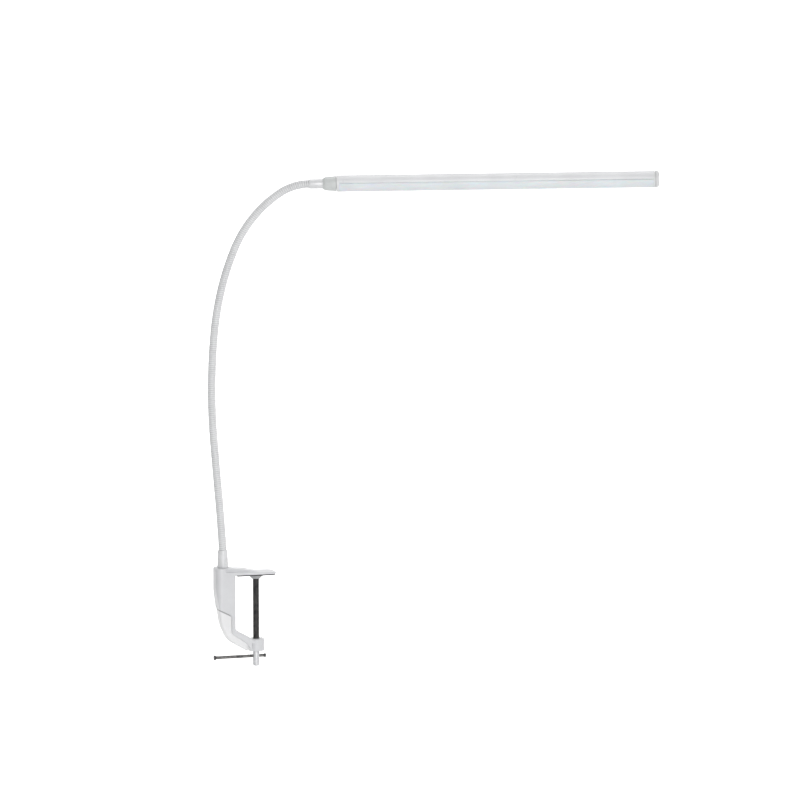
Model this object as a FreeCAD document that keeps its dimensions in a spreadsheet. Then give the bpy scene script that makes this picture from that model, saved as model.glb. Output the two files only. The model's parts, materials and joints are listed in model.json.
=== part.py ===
"""Clip-on reading lamp: a screw clamp, a bendable gooseneck and a slim LED tube head.

Frame: millimetres, +Z up. The origin lies on the clamp screw's axis, in the underside of the jaw pad, where
the lamp sits on a table top. +X points from the clamp's throat out over the table, +Y to its far side.

The clamp is built in that frame. The neck and the head lie in the lamp plane, an upright plane through the
neck socket's axis, turned a little from the clamp's own plane, so each of their pieces is built about its
own axis and then placed by its body's Placement.
"""

import FreeCAD, Part
import math
import os
import re

import Sketcher
from FreeCAD import Placement, Rotation, Vector

# alias, value in millimetres or degrees, meaning
CLAMP_SIZES = [
    ("throat_x", -27.5, "throat face, which the table edge meets"),
    ("rear_x", -50.3, "column's rear face"),
    ("column_width", 26.0, "column, jaw and arm flange, across"),
    ("column_top", 10.0, "column's top face"),
    ("column_corner", 7.4, "rounding of its two rear corners"),
    ("column_edge", 1.2, "rounding round its top"),
    ("rear_bend", -15.0, "height where the rear face starts to lean in"),
    ("rear_foot_x", -46.6, "foot of the leaning rear face"),
    ("rear_foot", -39.0, "its height"),
    ("rim_thickness", 4.8, "rim round the throat, below the column"),
    ("step_low", -46.2, "height where the column's lower edge meets the rim"),
    ("throat_bottom", -64.0, "throat's lower corner"),
    ("arm_x", -8.0, "where the arm's flange meets the boss"),
    ("arm_top", -75.1, "arm's top there"),
    ("arm_depth", 7.0, "upright thickness of the arm's flange"),
    ("arm_slot", 6.5, "flange's underside turns down to the boss this far behind it"),
    ("rim_drop", 3.6, "rim's lower corner, below the throat's"),
    ("rim_rounding", 5.0, "where the rim meets the column and the arm"),
    ("throat_rounding", 3.0, "throat's lower corner"),
    ("web_width", 18.6, "web behind the rim and under the arm"),
    ("web_rounding", 12.0, "corners of its rear outline"),
    ("web_edge", 3.0, "rounding of its two rear edges"),
    ("pocket_top", -80.5, "top of the pockets beside the boss"),
    ("pocket_x", -12.5, "their end away from it"),
    ("pocket_web", 8.0, "web between them"),
    ("boss_radius", 9.9, "screw boss"),
    ("boss_top", -76.5, "its top"),
    ("boss_bottom", -91.0, "its underside"),
    ("boss_edge", 0.8, "rounding of its rims"),
    ("jaw_low", 1.2, "jaw's underside, above its pad"),
    ("jaw_top", 5.0, "top of the jaw's plate at the column"),
    ("jaw_tip_top", 3.7, "its top at the tip"),
    ("jaw_tip_x", 22.8, "jaw's tip"),
    ("jaw_corner", 6.0, "rounding of the tip's corners"),
    ("jaw_edge", 1.3, "rounding of the plate's upper edge"),
    ("rib_half", 8.6, "rib on the jaw, half its width"),
    ("rib_start_x", -38.6, "where the column's top narrows to the rib"),
    ("rib_high_x", -32.6, "where the rib's top starts to fall"),
    ("rib_high", 8.9, "rib's top at the throat"),
    ("rib_knee_x", -14.5, "where it falls away faster"),
    ("rib_knee", 7.9, "its top there"),
    ("rib_foot_x", 3.0, "where it meets the plate"),
    ("rib_corner", 1.8, "rounding of the column's corners beside it"),
    ("throat_edge", 1.5, "rounding along the throat's edges"),
    ("jaw_pad_inset", 0.8, "margin round the jaw pad"),
    ("jaw_pad_x", -25.0, "pad's end beside the throat"),
    ("neck_x", -40.0, "neck socket's axis"),
    ("cavity_half", 5.5, "wiring cavity, half its depth along X"),
    ("cavity_near", -9.0, "its closed side"),
    ("cavity_top", -4.2, "its ceiling"),
    ("cavity_bottom", -21.0, "its floor"),
    ("cover_half", 6.6, "side cover, half its size along X"),
    ("cover_thickness", 2.0, "side cover"),
    ("cover_slope", 1.0, "how far its rear edge falls back, as the column's corner does"),
    ("cover_top", 0.4, "its top edge"),
    ("cover_bottom", -25.5, "its lower edge"),
    ("cover_screw_high", -1.9, "upper cover screw"),
    ("cover_screw_low", -23.2, "lower cover screw"),
    ("cover_screw_radius", 1.25, "M2.5"),
    ("cover_screw_head", 2.2, "countersunk head's radius"),
    ("cover_screw_length", 6.0, "whole screw"),
    ("gland_height", -14.0, "cord gland's axis"),
    ("gland_bore", 2.5, "for a cord 5 mm thick"),
    ("gland_neck", 4.0, "radius in the cover's hole"),
    ("gland_flange", 5.0, "radius of its flanges"),
    ("gland_inner", 1.2, "inner flange's thickness"),
    ("gland_outer", 2.4, "outer flange's thickness"),
    ("gland_lip", 3.6, "its radius at the outer face"),
]
SCREW_SIZES = [
    ("screw_radius", 4.0, "M8 clamp screw"),
    ("running_gap", 0.06, "radial clearance of a turning or sliding fit"),
    ("screw_tip", -2.75, "top of the screw, inside the swivel pad"),
    ("screw_shoulder", -91.6, "where the screw is turned down for its head"),
    ("screw_end", -107.0, "lower end of the turned-down part"),
    ("screw_end_radius", 2.7, "turned-down part"),
    ("head_end", -109.4, "screw head's lower end"),
    ("head_radius", 3.95, "screw head"),
    ("pad_gap", 0.3, "swivel pad below the jaw pad"),
    ("pad_height", 4.4, "swivel pad"),
    ("pad_radius", 8.6, "its gripping face"),
    ("pad_neck", 5.3, "its radius at the screw"),
    ("pad_recess", 3.3, "recess for the rivet's head"),
    ("pad_recess_depth", 1.2, "that recess"),
    ("pad_web", 1.2, "pad's floor between the rivet and the screw"),
    ("rivet_radius", 1.5, "rivet that keeps the pad on the screw"),
    ("rivet_head", 2.9, "its head's radius"),
    ("rivet_length", 6.0, "its shank"),
    ("bar_height", -97.6, "tommy bar's axis"),
    ("bar_radius", 1.8, "tommy bar"),
    ("bar_left", -51.5, "its end under the column"),
    ("bar_right", 11.7, "its other end"),
    ("bar_head_radius", 2.9, "its swaged end under the column"),
    ("bar_small_head_radius", 2.4, "its other swaged end"),
    ("bar_head_length", 3.0, "those ends"),
    ("bar_end_radius", 1.2, "bar where its ends are pressed on"),
    ("bar_end_depth", 0.4, "bar's end face inside them"),
]
NECK_SIZES = [
    ("ferrule_top", 30.5, "base ferrule's mouth"),
    ("ferrule_foot_radius", 6.6, "its foot"),
    ("ferrule_mouth_radius", 5.7, "its mouth"),
    ("stud_radius", 3.5, "hollow stud that holds the neck on the clamp"),
    ("stud_bore", 2.0, "for the lead"),
    ("stud_low", -10.0, "its lower end"),
    ("stud_high", 21.5, "its upper end, inside the ferrule"),
    ("nut_flats", 10.0, "its nut, across the flats"),
    ("nut_thickness", 3.2, "its nut"),
    ("washer_radius", 5.2, "washer over the nut"),
    ("washer_thickness", 1.3, "that washer"),
    ("neck_radius", 4.75, "gooseneck"),
    ("neck_bore", 2.6, "for the lead"),
    ("socket_gap", 0.3, "radial clearance between one length of neck and the next"),
    ("pivot_rise", 1.0, "first bend's centre above the ferrule's mouth"),
    ("lead_radius", 1.6, "two-core lead in the neck"),
    ("lead_slack", 0.45, "gap between lengths of lead"),
    ("lead_low", -11.0, "its lower end, in the cavity"),
    ("connector_low", -18.0, "lower end of the connector below it"),
    ("connector_half_x", 2.5, "connector"),
    ("connector_half_y", 3.5, "connector"),
    ("neck_lean", 3.3, "neck's lean backwards where it leaves the ferrule"),
    ("lamp_plane_turn", -17.0, "lamp plane's turn about the socket's axis"),
]
# the web's rear outline, from the column downwards: behind rear_foot_x (+X) and above rear_foot
WEB_BACK = [
    (0.4, 6.0),
    (0.0, -2.0),
    (1.9, -15.0),
    (4.2, -23.0),
    (8.3, -32.5),
    (11.9, -38.3),
    (33.3, -51.0),
]
# each length of neck between two bends: its arc length, and how far it turns (negative curves forwards)
NECK_LENGTHS = [
    (66.0, 1.5),
    (66.0, -0.5),
    (61.1, -5.0),
    (60.0, -4.5),
    (56.0, -8.5),
    (50.0, -9.5),
    (44.0, -17.0),
    (40.0, -16.0),
    (36.0, -33.0),
]
HEAD_SIZES = [
    ("top_ferrule_length", 16.3, "ferrule at the neck's upper end"),
    ("top_ferrule_start", 5.3, "its radius at the neck"),
    ("top_ferrule_shoulder", 5.65, "radius past its chamfer"),
    ("top_ferrule_end", 5.75, "its radius at the collar"),
    ("chamfer_length", 1.6, "ferrule's chamfer"),
    ("neck_seat", 8.0, "depth of the neck's seat in the ferrule"),
    ("spigot_radius", 4.0, "hollow spigot that the head turns on"),
    ("spigot_bore", 2.2, "for the lead"),
    ("spigot_end", 44.4, "its end, inside the head"),
    ("collar_length", 15.7, "tapered collar"),
    ("collar_start", 6.2, "its radius beside the ferrule"),
    ("collar_rise", 2.6, "length over which it widens fast"),
    ("collar_shoulder", 7.9, "its radius there"),
    ("collar_end", 8.9, "its radius beside the head"),
    ("swivel_gap", 0.4, "between collar and head"),
    ("stop_circle", 6.2, "radius that the stop pin travels on"),
    ("stop_pin_radius", 0.8, "stop pin"),
    ("stop_pin_reach", 1.4, "how far it stands into the collar's slot"),
    ("stop_pin_seat", 4.0, "its length inside the near plug"),
    ("stop_slot_half", 1.0, "half the slot's width"),
    ("stop_slot_depth", 2.0, "slot"),
    ("stop_slot_angle", 337.0, "slot's sweep"),
    ("tube_radius", 9.6, "head, outside"),
    ("tube_length", 370.5, "housing and diffuser"),
    ("housing_wall", 1.6, "aluminium housing"),
    ("diffuser_wall", 1.2, "diffuser"),
    ("parting", 0.4, "parting line above the head's axis"),
    ("spine_thickness", 1.8, "flat spine that carries the LEDs"),
    ("spine_half", 8.4, "its half width"),
    ("spine_start", 24.0, "its start, from the housing's end"),
    ("port_start", 14.0, "screw ports' start, from the housing's end"),
    ("far_relief", 6.0, "spine and ports stop short of the far end by"),
    ("port_up", 4.4, "screw ports above the axis"),
    ("port_side", 5.2, "screw ports beside it"),
    ("port_radius", 1.7, "screw port"),
    ("port_bore", 1.0, "for M2"),
    ("plug_radius", 7.95, "plugs inside the tube"),
    ("near_plug_length", 7.0, "plug that turns on the spigot"),
    ("wave_washer_radius", 6.6, "friction washer"),
    ("wave_washer_thickness", 0.6, "friction washer"),
    ("washer_play", 0.12, "gap beside the friction washer"),
    ("spigot_nut_flats", 11.0, "nut on the spigot, across the flats"),
    ("spigot_nut_thickness", 3.4, "that nut"),
    ("grub_start", 5.0, "its axis, from the housing's end"),
    ("grub_radius", 1.25, "grub screw that holds the near plug"),
    ("grub_length", 5.0, "that screw"),
    ("grub_slot_reach", 0.9, "its driver slot, half its length"),
    ("grub_slot_half", 0.2, "half its width"),
    ("grub_angle", -60.0, "its direction round the tube"),
    ("tape_thickness", 0.15, "thermal tape"),
    ("board_thickness", 1.0, "LED board"),
    ("board_half", 5.0, "its half width"),
    ("board_margin", 2.0, "spine left bare at each end of the board"),
    ("led_count", 36.0, "LEDs in the row"),
    ("led_pitch", 9.3, "their spacing"),
    ("led_length", 3.5, "each, along the board"),
    ("led_width", 2.8, "each, across it"),
    ("led_height", 0.7, "each"),
    ("driver_start", 29.0, "driver board's start, from the housing's end"),
    ("driver_length", 48.0, "driver board"),
    ("driver_half", 3.2, "its half width"),
    ("capacitor_start", 36.0, "capacitor's centre along it"),
    ("capacitor_radius", 2.2, "capacitor"),
    ("capacitor_height", 3.0, "capacitor"),
    ("insulator_thickness", 0.3, "sheet under the driver board"),
    ("head_lead_radius", 1.1, "lead inside the head"),
    ("head_lead_start", 3.0, "its start inside the spigot, from the housing's end"),
    ("head_lead_bend", 13.0, "where it starts to rise"),
    ("head_lead_run", 11.0, "length of its rise"),
    ("cap_radius", 10.2, "end cap"),
    ("cap_length", 5.3, "end cap, outside the tube"),
    ("cap_rounding", 2.4, "its outer edge"),
    ("cap_plug_length", 5.5, "its plug inside the tube"),
    ("cap_plug_wall", 1.4, "that plug's wall"),
    ("cap_screw_radius", 1.0, "M2"),
    ("cap_screw_head", 1.9, "its countersunk head's radius"),
    ("cap_screw_length", 16.0, "whole screw"),
    ("cap_screw_play", 0.16, "clearance round it in the cap"),
    ("cap_screw_depth", 0.1, "its head's top below the cap's face"),
]

# parts on the driver board: name, start along the board, length, half width, height
DRIVER_PARTS = [
    ("terminal", 2.0, 6.0, 2.6, 2.6),
    ("chip", 12.0, 5.0, 2.0, 1.5),
    ("inductor", 20.0, 6.0, 2.9, 2.9),
    ("resistor", 29.0, 3.2, 0.8, 0.6),
    ("output_terminal", 41.0, 5.0, 2.6, 2.4),
]

doc = FreeCAD.newDocument("reading_lamp")
sheet = doc.addObject("Spreadsheet::Sheet", "Sizes")
neck_rows = []
for number, (length, turn) in enumerate(NECK_LENGTHS, start=1):
    neck_rows.append((f"neck_length_no{number}", length, "arc length"))
    neck_rows.append((f"neck_turn_no{number}", turn, "its turn in degrees"))
ALIASES = set()
rows = CLAMP_SIZES + SCREW_SIZES + NECK_SIZES + neck_rows + HEAD_SIZES
for row, (alias, value, meaning) in enumerate(rows, start=1):
    sheet.set(f"A{row}", alias)
    sheet.set(f"B{row}", str(value))
    sheet.set(f"C{row}", meaning)
    sheet.setAlias(f"B{row}", alias)
    ALIASES.add(alias)
doc.recompute()

NO_TURN = Rotation()
CIRCLE = "Part::GeomCircle"
STRAIGHT = 0.999  # share of an edge's length that runs along an axis
NEAR = 0.1  # how close an edge's middle lies to the place it is looked for at
nodes = []


# ---- helpers ----------------------------------------------------------------------------------------------


def expand(expression):
    """The expression with each size's name pointing at its cell."""
    words = re.compile(r"[a-z][a-z0-9_]*")
    return words.sub(lambda m: "Sizes." + m.group() if m.group() in ALIASES else m.group(), expression)


def size(expression):
    """An expression of the sheet's sizes, worked out."""
    return float(sheet.evalExpression(expand(expression)))


def bind(feature, **expressions):
    for name, expression in expressions.items():
        feature.setExpression(name, expand(expression))


def at(x=0.0, y=0.0, z=0.0, turn=NO_TURN):
    return Placement(Vector(x, y, z), turn)


def new_body(label, place=None):
    """A named sub-part, which becomes the file of that name."""
    body = doc.addObject("PartDesign::Body", label)
    body.Label = label
    body.AllowCompound = True
    body.Placement = place or Placement()
    nodes.append(body)
    return body


def origin_part(body, role):
    return next(feature for feature in body.Origin.OriginFeatures if feature.Role == role)


def primitive(body, kind, name, place=None, **expressions):
    """An additive or subtractive primitive, at its place in the body's own frame."""
    feature = body.newObject("PartDesign::" + kind, name)
    bind(feature, **expressions)
    feature.Placement = place or Placement()
    return feature


def outline(body, name, role, points, offset=None):
    """A closed outline of straight edges in one of the body's own planes, each corner bound to the sheet."""
    sketch = body.newObject("Sketcher::SketchObject", name)
    sketch.AttachmentSupport = [(origin_part(body, role), "")]
    sketch.MapMode = "FlatFace"
    if offset:
        sketch.AttachmentOffset = offset
    corners = [Vector(size(x), size(y), 0) for x, y in points]
    count = len(corners)
    for i in range(count):
        sketch.addGeometry(Part.LineSegment(corners[i], corners[(i + 1) % count]), False)
    for i in range(count):
        sketch.addConstraint(Sketcher.Constraint("Coincident", i, 2, (i + 1) % count, 1))
    for i, (x, y) in enumerate(points):
        for kind, expression, value in (("DistanceX", x, corners[i].x), ("DistanceY", y, corners[i].y)):
            number = sketch.addConstraint(Sketcher.Constraint(kind, -1, 1, i, 1, value))
            sketch.setExpression(f"Constraints[{number}]", expand(expression))
    return sketch


def turned(body, name, points):
    """A lathe-turned solid about the body's Z axis, from (radius, height) corners."""
    sketch = outline(body, name + "_outline", "XZ_Plane", points)
    feature = body.newObject("PartDesign::Revolution", name)
    feature.Profile = sketch
    feature.ReferenceAxis = (sketch, ["V_Axis"])
    feature.Angle = 360
    return feature


def padded(body, name, role, points, depth, offset=None, midplane=False):
    """An outline made solid, to one side of its plane or to both sides alike."""
    feature = body.newObject("PartDesign::Pad", name)
    feature.Profile = outline(body, name + "_outline", role, points, offset)
    feature.SideType = "Symmetric" if midplane else "One side"
    bind(feature, Length=depth)
    return feature


def pocketed(body, name, role, points, depth):
    """An outline cut right through both ways from its plane."""
    feature = body.newObject("PartDesign::Pocket", name)
    feature.Profile = outline(body, name + "_outline", role, points)
    feature.SideType = "Symmetric"
    bind(feature, Length=depth)
    return feature


def rounded(body, name, radius, wanted):
    """Rounds the edges whose middle the test accepts."""
    doc.recompute()
    tip = body.Tip
    names = []
    for number, edge in enumerate(tip.Shape.Edges, start=1):
        if edge.Degenerated:
            continue
        first, last = edge.ParameterRange
        if wanted(edge.valueAt((first + last) / 2), edge):
            names.append(f"Edge{number}")
    if not names:
        raise SystemExit(f"{body.Label}: no edge found for {name}")
    feature = body.newObject("PartDesign::Fillet", name)
    feature.Base = (tip, names)
    feature.Radius = radius
    doc.recompute()
    if feature.Shape.isNull():
        raise SystemExit(f"{body.Label}: {name} can't be rounded")
    return feature


def upright_at(x, z, reach=0.6):
    """A test for edges that run along Y through the point (x, z)."""
    return lambda p, edge: along(edge, 1) and math.hypot(p.x - x, p.z - z) < reach


def along(edge, axis):
    """Is the edge a straight one along this axis?"""
    if edge.Curve.TypeId != "Part::GeomLine":
        return False
    direction = edge.Vertexes[-1].Point - edge.Vertexes[0].Point
    return abs(direction[axis]) > STRAIGHT * direction.Length


def hexagon(flats):
    """The corners of a hexagon with two flats facing +X and -X."""
    corner = f"{flats} / sqrt(3)"
    half = f"{flats} / 2"
    return [
        (half, f"-{corner} / 2"),
        (half, f"{corner} / 2"),
        ("0", corner),
        (f"-{half}", f"{corner} / 2"),
        (f"-{half}", f"-{corner} / 2"),
        ("0", f"-{corner}"),
    ]


def hex_nut(label, place, flats, thickness, bore):
    body = new_body(label, place)
    padded(body, "hexagon", "XY_Plane", hexagon(flats), thickness)
    primitive(body, "SubtractiveCylinder", "thread", at(z=-1), Radius=bore, Height=f"{thickness} + 2")
    return body


def ring(label, place, inner, outer, height):
    body = new_body(label, place)
    turned(body, "ring", [(inner, "0"), (outer, "0"), (outer, height), (inner, height)])
    return body


def box(body, name, low, high):
    """An additive box between two corners, given as expressions."""
    spans = {side: f"({b}) - ({a})" for side, a, b in zip(("Length", "Width", "Height"), low, high)}
    return primitive(body, "AdditiveBox", name, at(*[size(v) for v in low]), **spans)


def countersink(body, kind, place, screw, clearance="0"):
    """A countersunk screw along the place's Z, its head's face at the origin, as a solid or as its hole."""
    radius, head, length = f"{screw}_radius", f"{screw}_head", f"{screw}_length"
    shank = place * at(z=-size(length))
    primitive(body, kind + "Cylinder", "fixing_shank", shank, Radius=f"{radius} + {clearance}", Height=length)
    primitive(
        body,
        kind + "Cone",
        "fixing_cone",
        place * at(z=-size(f"{head} - {radius}")),
        Radius1=f"{radius} + {clearance}",
        Radius2=f"{head} + {clearance}",
        Height=f"{head} - {radius}",
    )


# ---- clamp ------------------------------------------------------------------------------------------------

FACING_FAR = Rotation(Vector(1, 0, 0), -90)  # carries +Z to +Y, the clamp's far side


def cover_screw_places():
    return [
        at(size("neck_x"), size("column_width / 2"), size(height), FACING_FAR)
        for height in ("cover_screw_high", "cover_screw_low")
    ]


def make_clamp_frame():
    body = new_body("clamp_frame")
    half = "column_width / 2"
    jaw = [
        ("throat_x - 1", "jaw_low"),
        ("jaw_tip_x", "jaw_low"),
        ("jaw_tip_x", "jaw_tip_top"),
        ("throat_x", "jaw_top"),
        ("throat_x - 1", "jaw_top"),
    ]
    padded(body, "jaw", "XZ_Plane", jaw, "column_width", midplane=True)
    throat_x, tip_x = size("throat_x"), size("jaw_tip_x")
    halfway_up = size("(jaw_low + jaw_tip_top) / 2")
    rounded(body, "jaw_tip_corners", size("jaw_corner"), lambda p, e: along(e, 2) and p.x > tip_x - NEAR)
    rounded(body, "jaw_edge", size("jaw_edge"), lambda p, e: p.z > halfway_up and p.x > throat_x)

    rim_back = "throat_x - rim_thickness"
    column = [
        ("throat_x", "column_top"),
        ("throat_x", "throat_bottom"),
        ("arm_x", "arm_top"),
        ("arm_x", "boss_bottom + 1"),
        ("arm_x - arm_slot", "arm_top - 2 / 3 * arm_depth"),
        (rim_back, "throat_bottom - rim_drop"),
        (rim_back, "step_low"),
        ("rear_x", "rear_foot + (rear_foot_x - rear_x) / 2"),
        ("rear_x", "column_top"),
    ]
    padded(body, "column", "XZ_Plane", column, "column_width", midplane=True)
    rear_x, back = size("rear_x"), size(rim_back)
    rounded(body, "column_back", size("column_corner"), lambda p, e: along(e, 2) and p.x < rear_x + NEAR)

    def round_the_top(p, edge):
        return p.z > size("column_top") - NEAR and p.x < throat_x - NEAR

    rounded(body, "column_edge", size("column_edge"), round_the_top)
    behind = [
        ("rear_x", "rear_bend"),
        ("rear_foot_x", "rear_foot"),
        ("rear_foot_x + 0.4", "rear_foot - 3"),
        ("rear_x - 1", "rear_foot - 3"),
        ("rear_x - 1", "rear_bend"),
    ]
    pocketed(body, "rear_lean", "XZ_Plane", behind, "2 * column_width")
    rounded(body, "rim_foot", size("rim_rounding"), upright_at(back, size("throat_bottom - rim_drop")))
    rounded(body, "rim_head", size("rim_rounding"), upright_at(back, size("step_low")))
    rounded(body, "throat_corner", size("throat_rounding"), upright_at(throat_x, size("throat_bottom")))
    for side, low_y in (("near", f"-{half} - 1"), ("far", "rib_half")):
        primitive(
            body,
            "SubtractiveBox",
            side + "_of_rib",
            at(size("rib_start_x"), size(low_y), size("jaw_top")),
            Length="throat_x - rib_start_x + 1",
            Width=f"{half} - rib_half + 1",
            Height="column_top",
        )
    plate_fall = "(jaw_top - jaw_tip_top) / (jaw_tip_x - throat_x)"
    rib = [
        ("throat_x - 2", "jaw_low + 1"),
        ("rib_foot_x", "jaw_low + 1"),
        ("rib_foot_x", f"jaw_top - {plate_fall} * (rib_foot_x - throat_x)"),
        ("rib_knee_x", "rib_knee"),
        ("throat_x", "rib_high"),
        ("throat_x - 2", "rib_high"),
    ]
    padded(body, "rib", "XZ_Plane", rib, "2 * rib_half", midplane=True)
    above_rib = [
        ("rib_high_x", "column_top"),
        ("throat_x", "rib_high"),
        ("throat_x + 1", "rib_high"),
        ("throat_x + 1", "column_top + 1"),
        ("rib_high_x", "column_top + 1"),
    ]
    pocketed(body, "rib_fall", "XZ_Plane", above_rib, "2 * column_width")

    def beside_rib(p, edge):
        beside = abs(p.y) > size("rib_half") - NEAR
        return along(edge, 2) and beside and abs(p.x - size("rib_start_x")) < NEAR

    rounded(body, "rib_corners", size("rib_corner"), beside_rib)

    arm_fall = size("(throat_bottom - arm_top) / (arm_x - throat_x)")

    def throat_edges(p, edge):
        if abs(abs(p.y) - size(half)) > NEAR or p.z > size("jaw_low") - NEAR:
            return False
        on_arm = size("throat_bottom") - (p.x - throat_x) * arm_fall
        in_throat = throat_x - NEAR < p.x < size("arm_x") - NEAR
        return in_throat and (p.x < throat_x + size("throat_rounding") or abs(p.z - on_arm) < 1.0)

    rounded(body, "throat_edges", size("throat_edge"), throat_edges)

    web = [(f"{rim_back} + 2", f"rear_foot + {WEB_BACK[0][1]}")]
    web += [(f"rear_foot_x + {behind_foot}", f"rear_foot + {height}") for behind_foot, height in WEB_BACK]
    web += [
        ("0", "boss_bottom + 1"),
        ("arm_x + 2", "arm_top - 2"),
        (f"{rim_back} + 2", "throat_bottom"),
    ]
    padded(body, "web", "XZ_Plane", web, "web_width", midplane=True)
    for side, low in (("near", "-web_width / 2"), ("far", "pocket_web / 2")):
        primitive(
            body,
            "SubtractiveBox",
            side + "_pocket",
            at(size("pocket_x"), size(low), size("boss_bottom") - 1),
            Length="-pocket_x",
            Width="(web_width - pocket_web) / 2",
            Height="pocket_top - boss_bottom + 1",
        )
    primitive(
        body,
        "AdditiveCylinder",
        "boss",
        at(z=size("boss_bottom")),
        Radius="boss_radius",
        Height="boss_top - boss_bottom",
    )

    def across_web(p, edge):
        below_step = p.x < throat_x and p.z < size("rear_foot") - 10
        return along(edge, 1) and below_step and edge.Length < size("web_width") + NEAR

    def boss_rim(p, edge):
        if edge.Curve.TypeId != CIRCLE or p.x < 0:
            return False
        return abs(edge.Curve.Radius - size("boss_radius")) < NEAR

    def web_sides(p, edge):
        if abs(abs(p.y) - size("web_width / 2")) > NEAR or abs(edge.tangentAt(edge.FirstParameter).y) > NEAR:
            return False
        return p.z < size("step_low") - 1 and p.x < back - 2 and p.z > size("boss_bottom") + NEAR

    rounded(body, "web_back", size("web_rounding"), across_web)
    rounded(body, "web_edges", size("web_edge"), web_sides)
    rounded(body, "boss_rims", size("boss_edge"), boss_rim)

    primitive(
        body,
        "SubtractiveCylinder",
        "screw_bore",
        at(z=size("boss_bottom") - 1),
        Radius="screw_radius + running_gap",
        Height="boss_top - boss_bottom + 2",
    )
    neck_x = size("neck_x")
    primitive(
        body,
        "SubtractiveCylinder",
        "stud_bore_hole",
        at(neck_x, 0, size("cavity_top") - 1),
        Radius="stud_radius + running_gap",
        Height="column_top - cavity_top + 2",
    )
    far = size("column_width / 2")
    primitive(
        body,
        "SubtractiveBox",
        "cavity",
        at(neck_x - size("cavity_half"), size("cavity_near"), size("cavity_bottom")),
        Length="2 * cavity_half",
        Width="column_width / 2 - cavity_near",
        Height="cavity_top - cavity_bottom",
    )
    primitive(
        body,
        "SubtractiveBox",
        "cover_seat",
        at(neck_x - size("cover_half"), far - size("cover_thickness"), size("cover_bottom")),
        Length="2 * cover_half",
        Width="cover_thickness + 1",
        Height="cover_top - cover_bottom",
    )
    for place in cover_screw_places():
        primitive(
            body,
            "SubtractiveCylinder",
            "screw_hole",
            place * at(z=-size("cover_screw_length")),
            Radius="cover_screw_radius",
            Height="cover_screw_length",
        )


def make_jaw_pad():
    body = new_body("jaw_pad")
    tip_x = "jaw_tip_x - jaw_pad_inset"
    half = "column_width / 2 - jaw_pad_inset"
    corners = [
        ("jaw_pad_x", f"-({half})"),
        (tip_x, f"-({half})"),
        (tip_x, half),
        ("jaw_pad_x", half),
    ]
    padded(body, "sheet", "XY_Plane", corners, "jaw_low")
    corner = size("jaw_corner - jaw_pad_inset")
    rounded(body, "tip_corners", corner, lambda p, e: along(e, 2) and p.x > size(tip_x) - 1)


def make_side_cover():
    body = new_body("side_cover", at(size("neck_x"), size("column_width / 2 - cover_thickness"), 0))
    corner_x = "rear_x + column_corner - neck_x"
    plan = [
        ("-cover_half", "0"),
        ("cover_half", "0"),
        ("cover_half", "cover_thickness"),
        (corner_x, "cover_thickness"),
        (f"({corner_x} - cover_half) / 2", "cover_thickness - cover_slope / 4"),
        ("-cover_half", "cover_thickness - cover_slope"),
    ]
    height = "cover_top - cover_bottom"
    padded(body, "plate", "XY_Plane", plan, height, at(z=size("cover_bottom")))
    gland_axis = at(0, -1, size("gland_height"), FACING_FAR)
    primitive(body, "SubtractiveCylinder", "gland_hole", gland_axis, Radius="gland_neck", Height="6")
    home = body.Placement.inverse()
    for place in cover_screw_places():
        countersink(body, "Subtractive", home * place, "cover_screw")

    screws = new_body("cover_screws")
    for place in cover_screw_places():
        countersink(screws, "Additive", place, "cover_screw")


def make_gland():
    """A rubber gland through the side cover, bored for the supply cord."""
    inner_face = size("column_width / 2 - cover_thickness - gland_inner")
    body = new_body("cord_gland", at(size("neck_x"), inner_face, size("gland_height"), FACING_FAR))
    outer = "gland_inner + cover_thickness"
    turned(
        body,
        "gland",
        [
            ("gland_bore", "0"),
            ("gland_flange", "0"),
            ("gland_flange", "gland_inner"),
            ("gland_neck", "gland_inner"),
            ("gland_neck", outer),
            ("gland_flange + 0.4", outer),
            ("gland_flange", f"{outer} + 1"),
            ("gland_lip", f"{outer} + gland_outer"),
            ("gland_bore", f"{outer} + gland_outer"),
        ],
    )


def make_swivel_pad():
    top = "-pad_gap"
    low = "-pad_gap - pad_height"
    recess = "-pad_gap - pad_recess_depth"
    body = new_body("swivel_pad")
    turned(
        body,
        "pad",
        [
            ("rivet_radius + 0.1", f"{recess} - pad_web"),
            ("screw_radius + running_gap", f"{recess} - pad_web"),
            ("screw_radius + running_gap", low),
            ("pad_neck", low),
            ("pad_neck + 0.4", f"{low} + 0.9"),
            ("pad_radius", "-pad_gap - 1"),
            ("pad_radius", top),
            ("pad_recess", top),
            ("pad_recess", recess),
            ("rivet_radius + 0.1", recess),
        ],
    )


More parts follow.
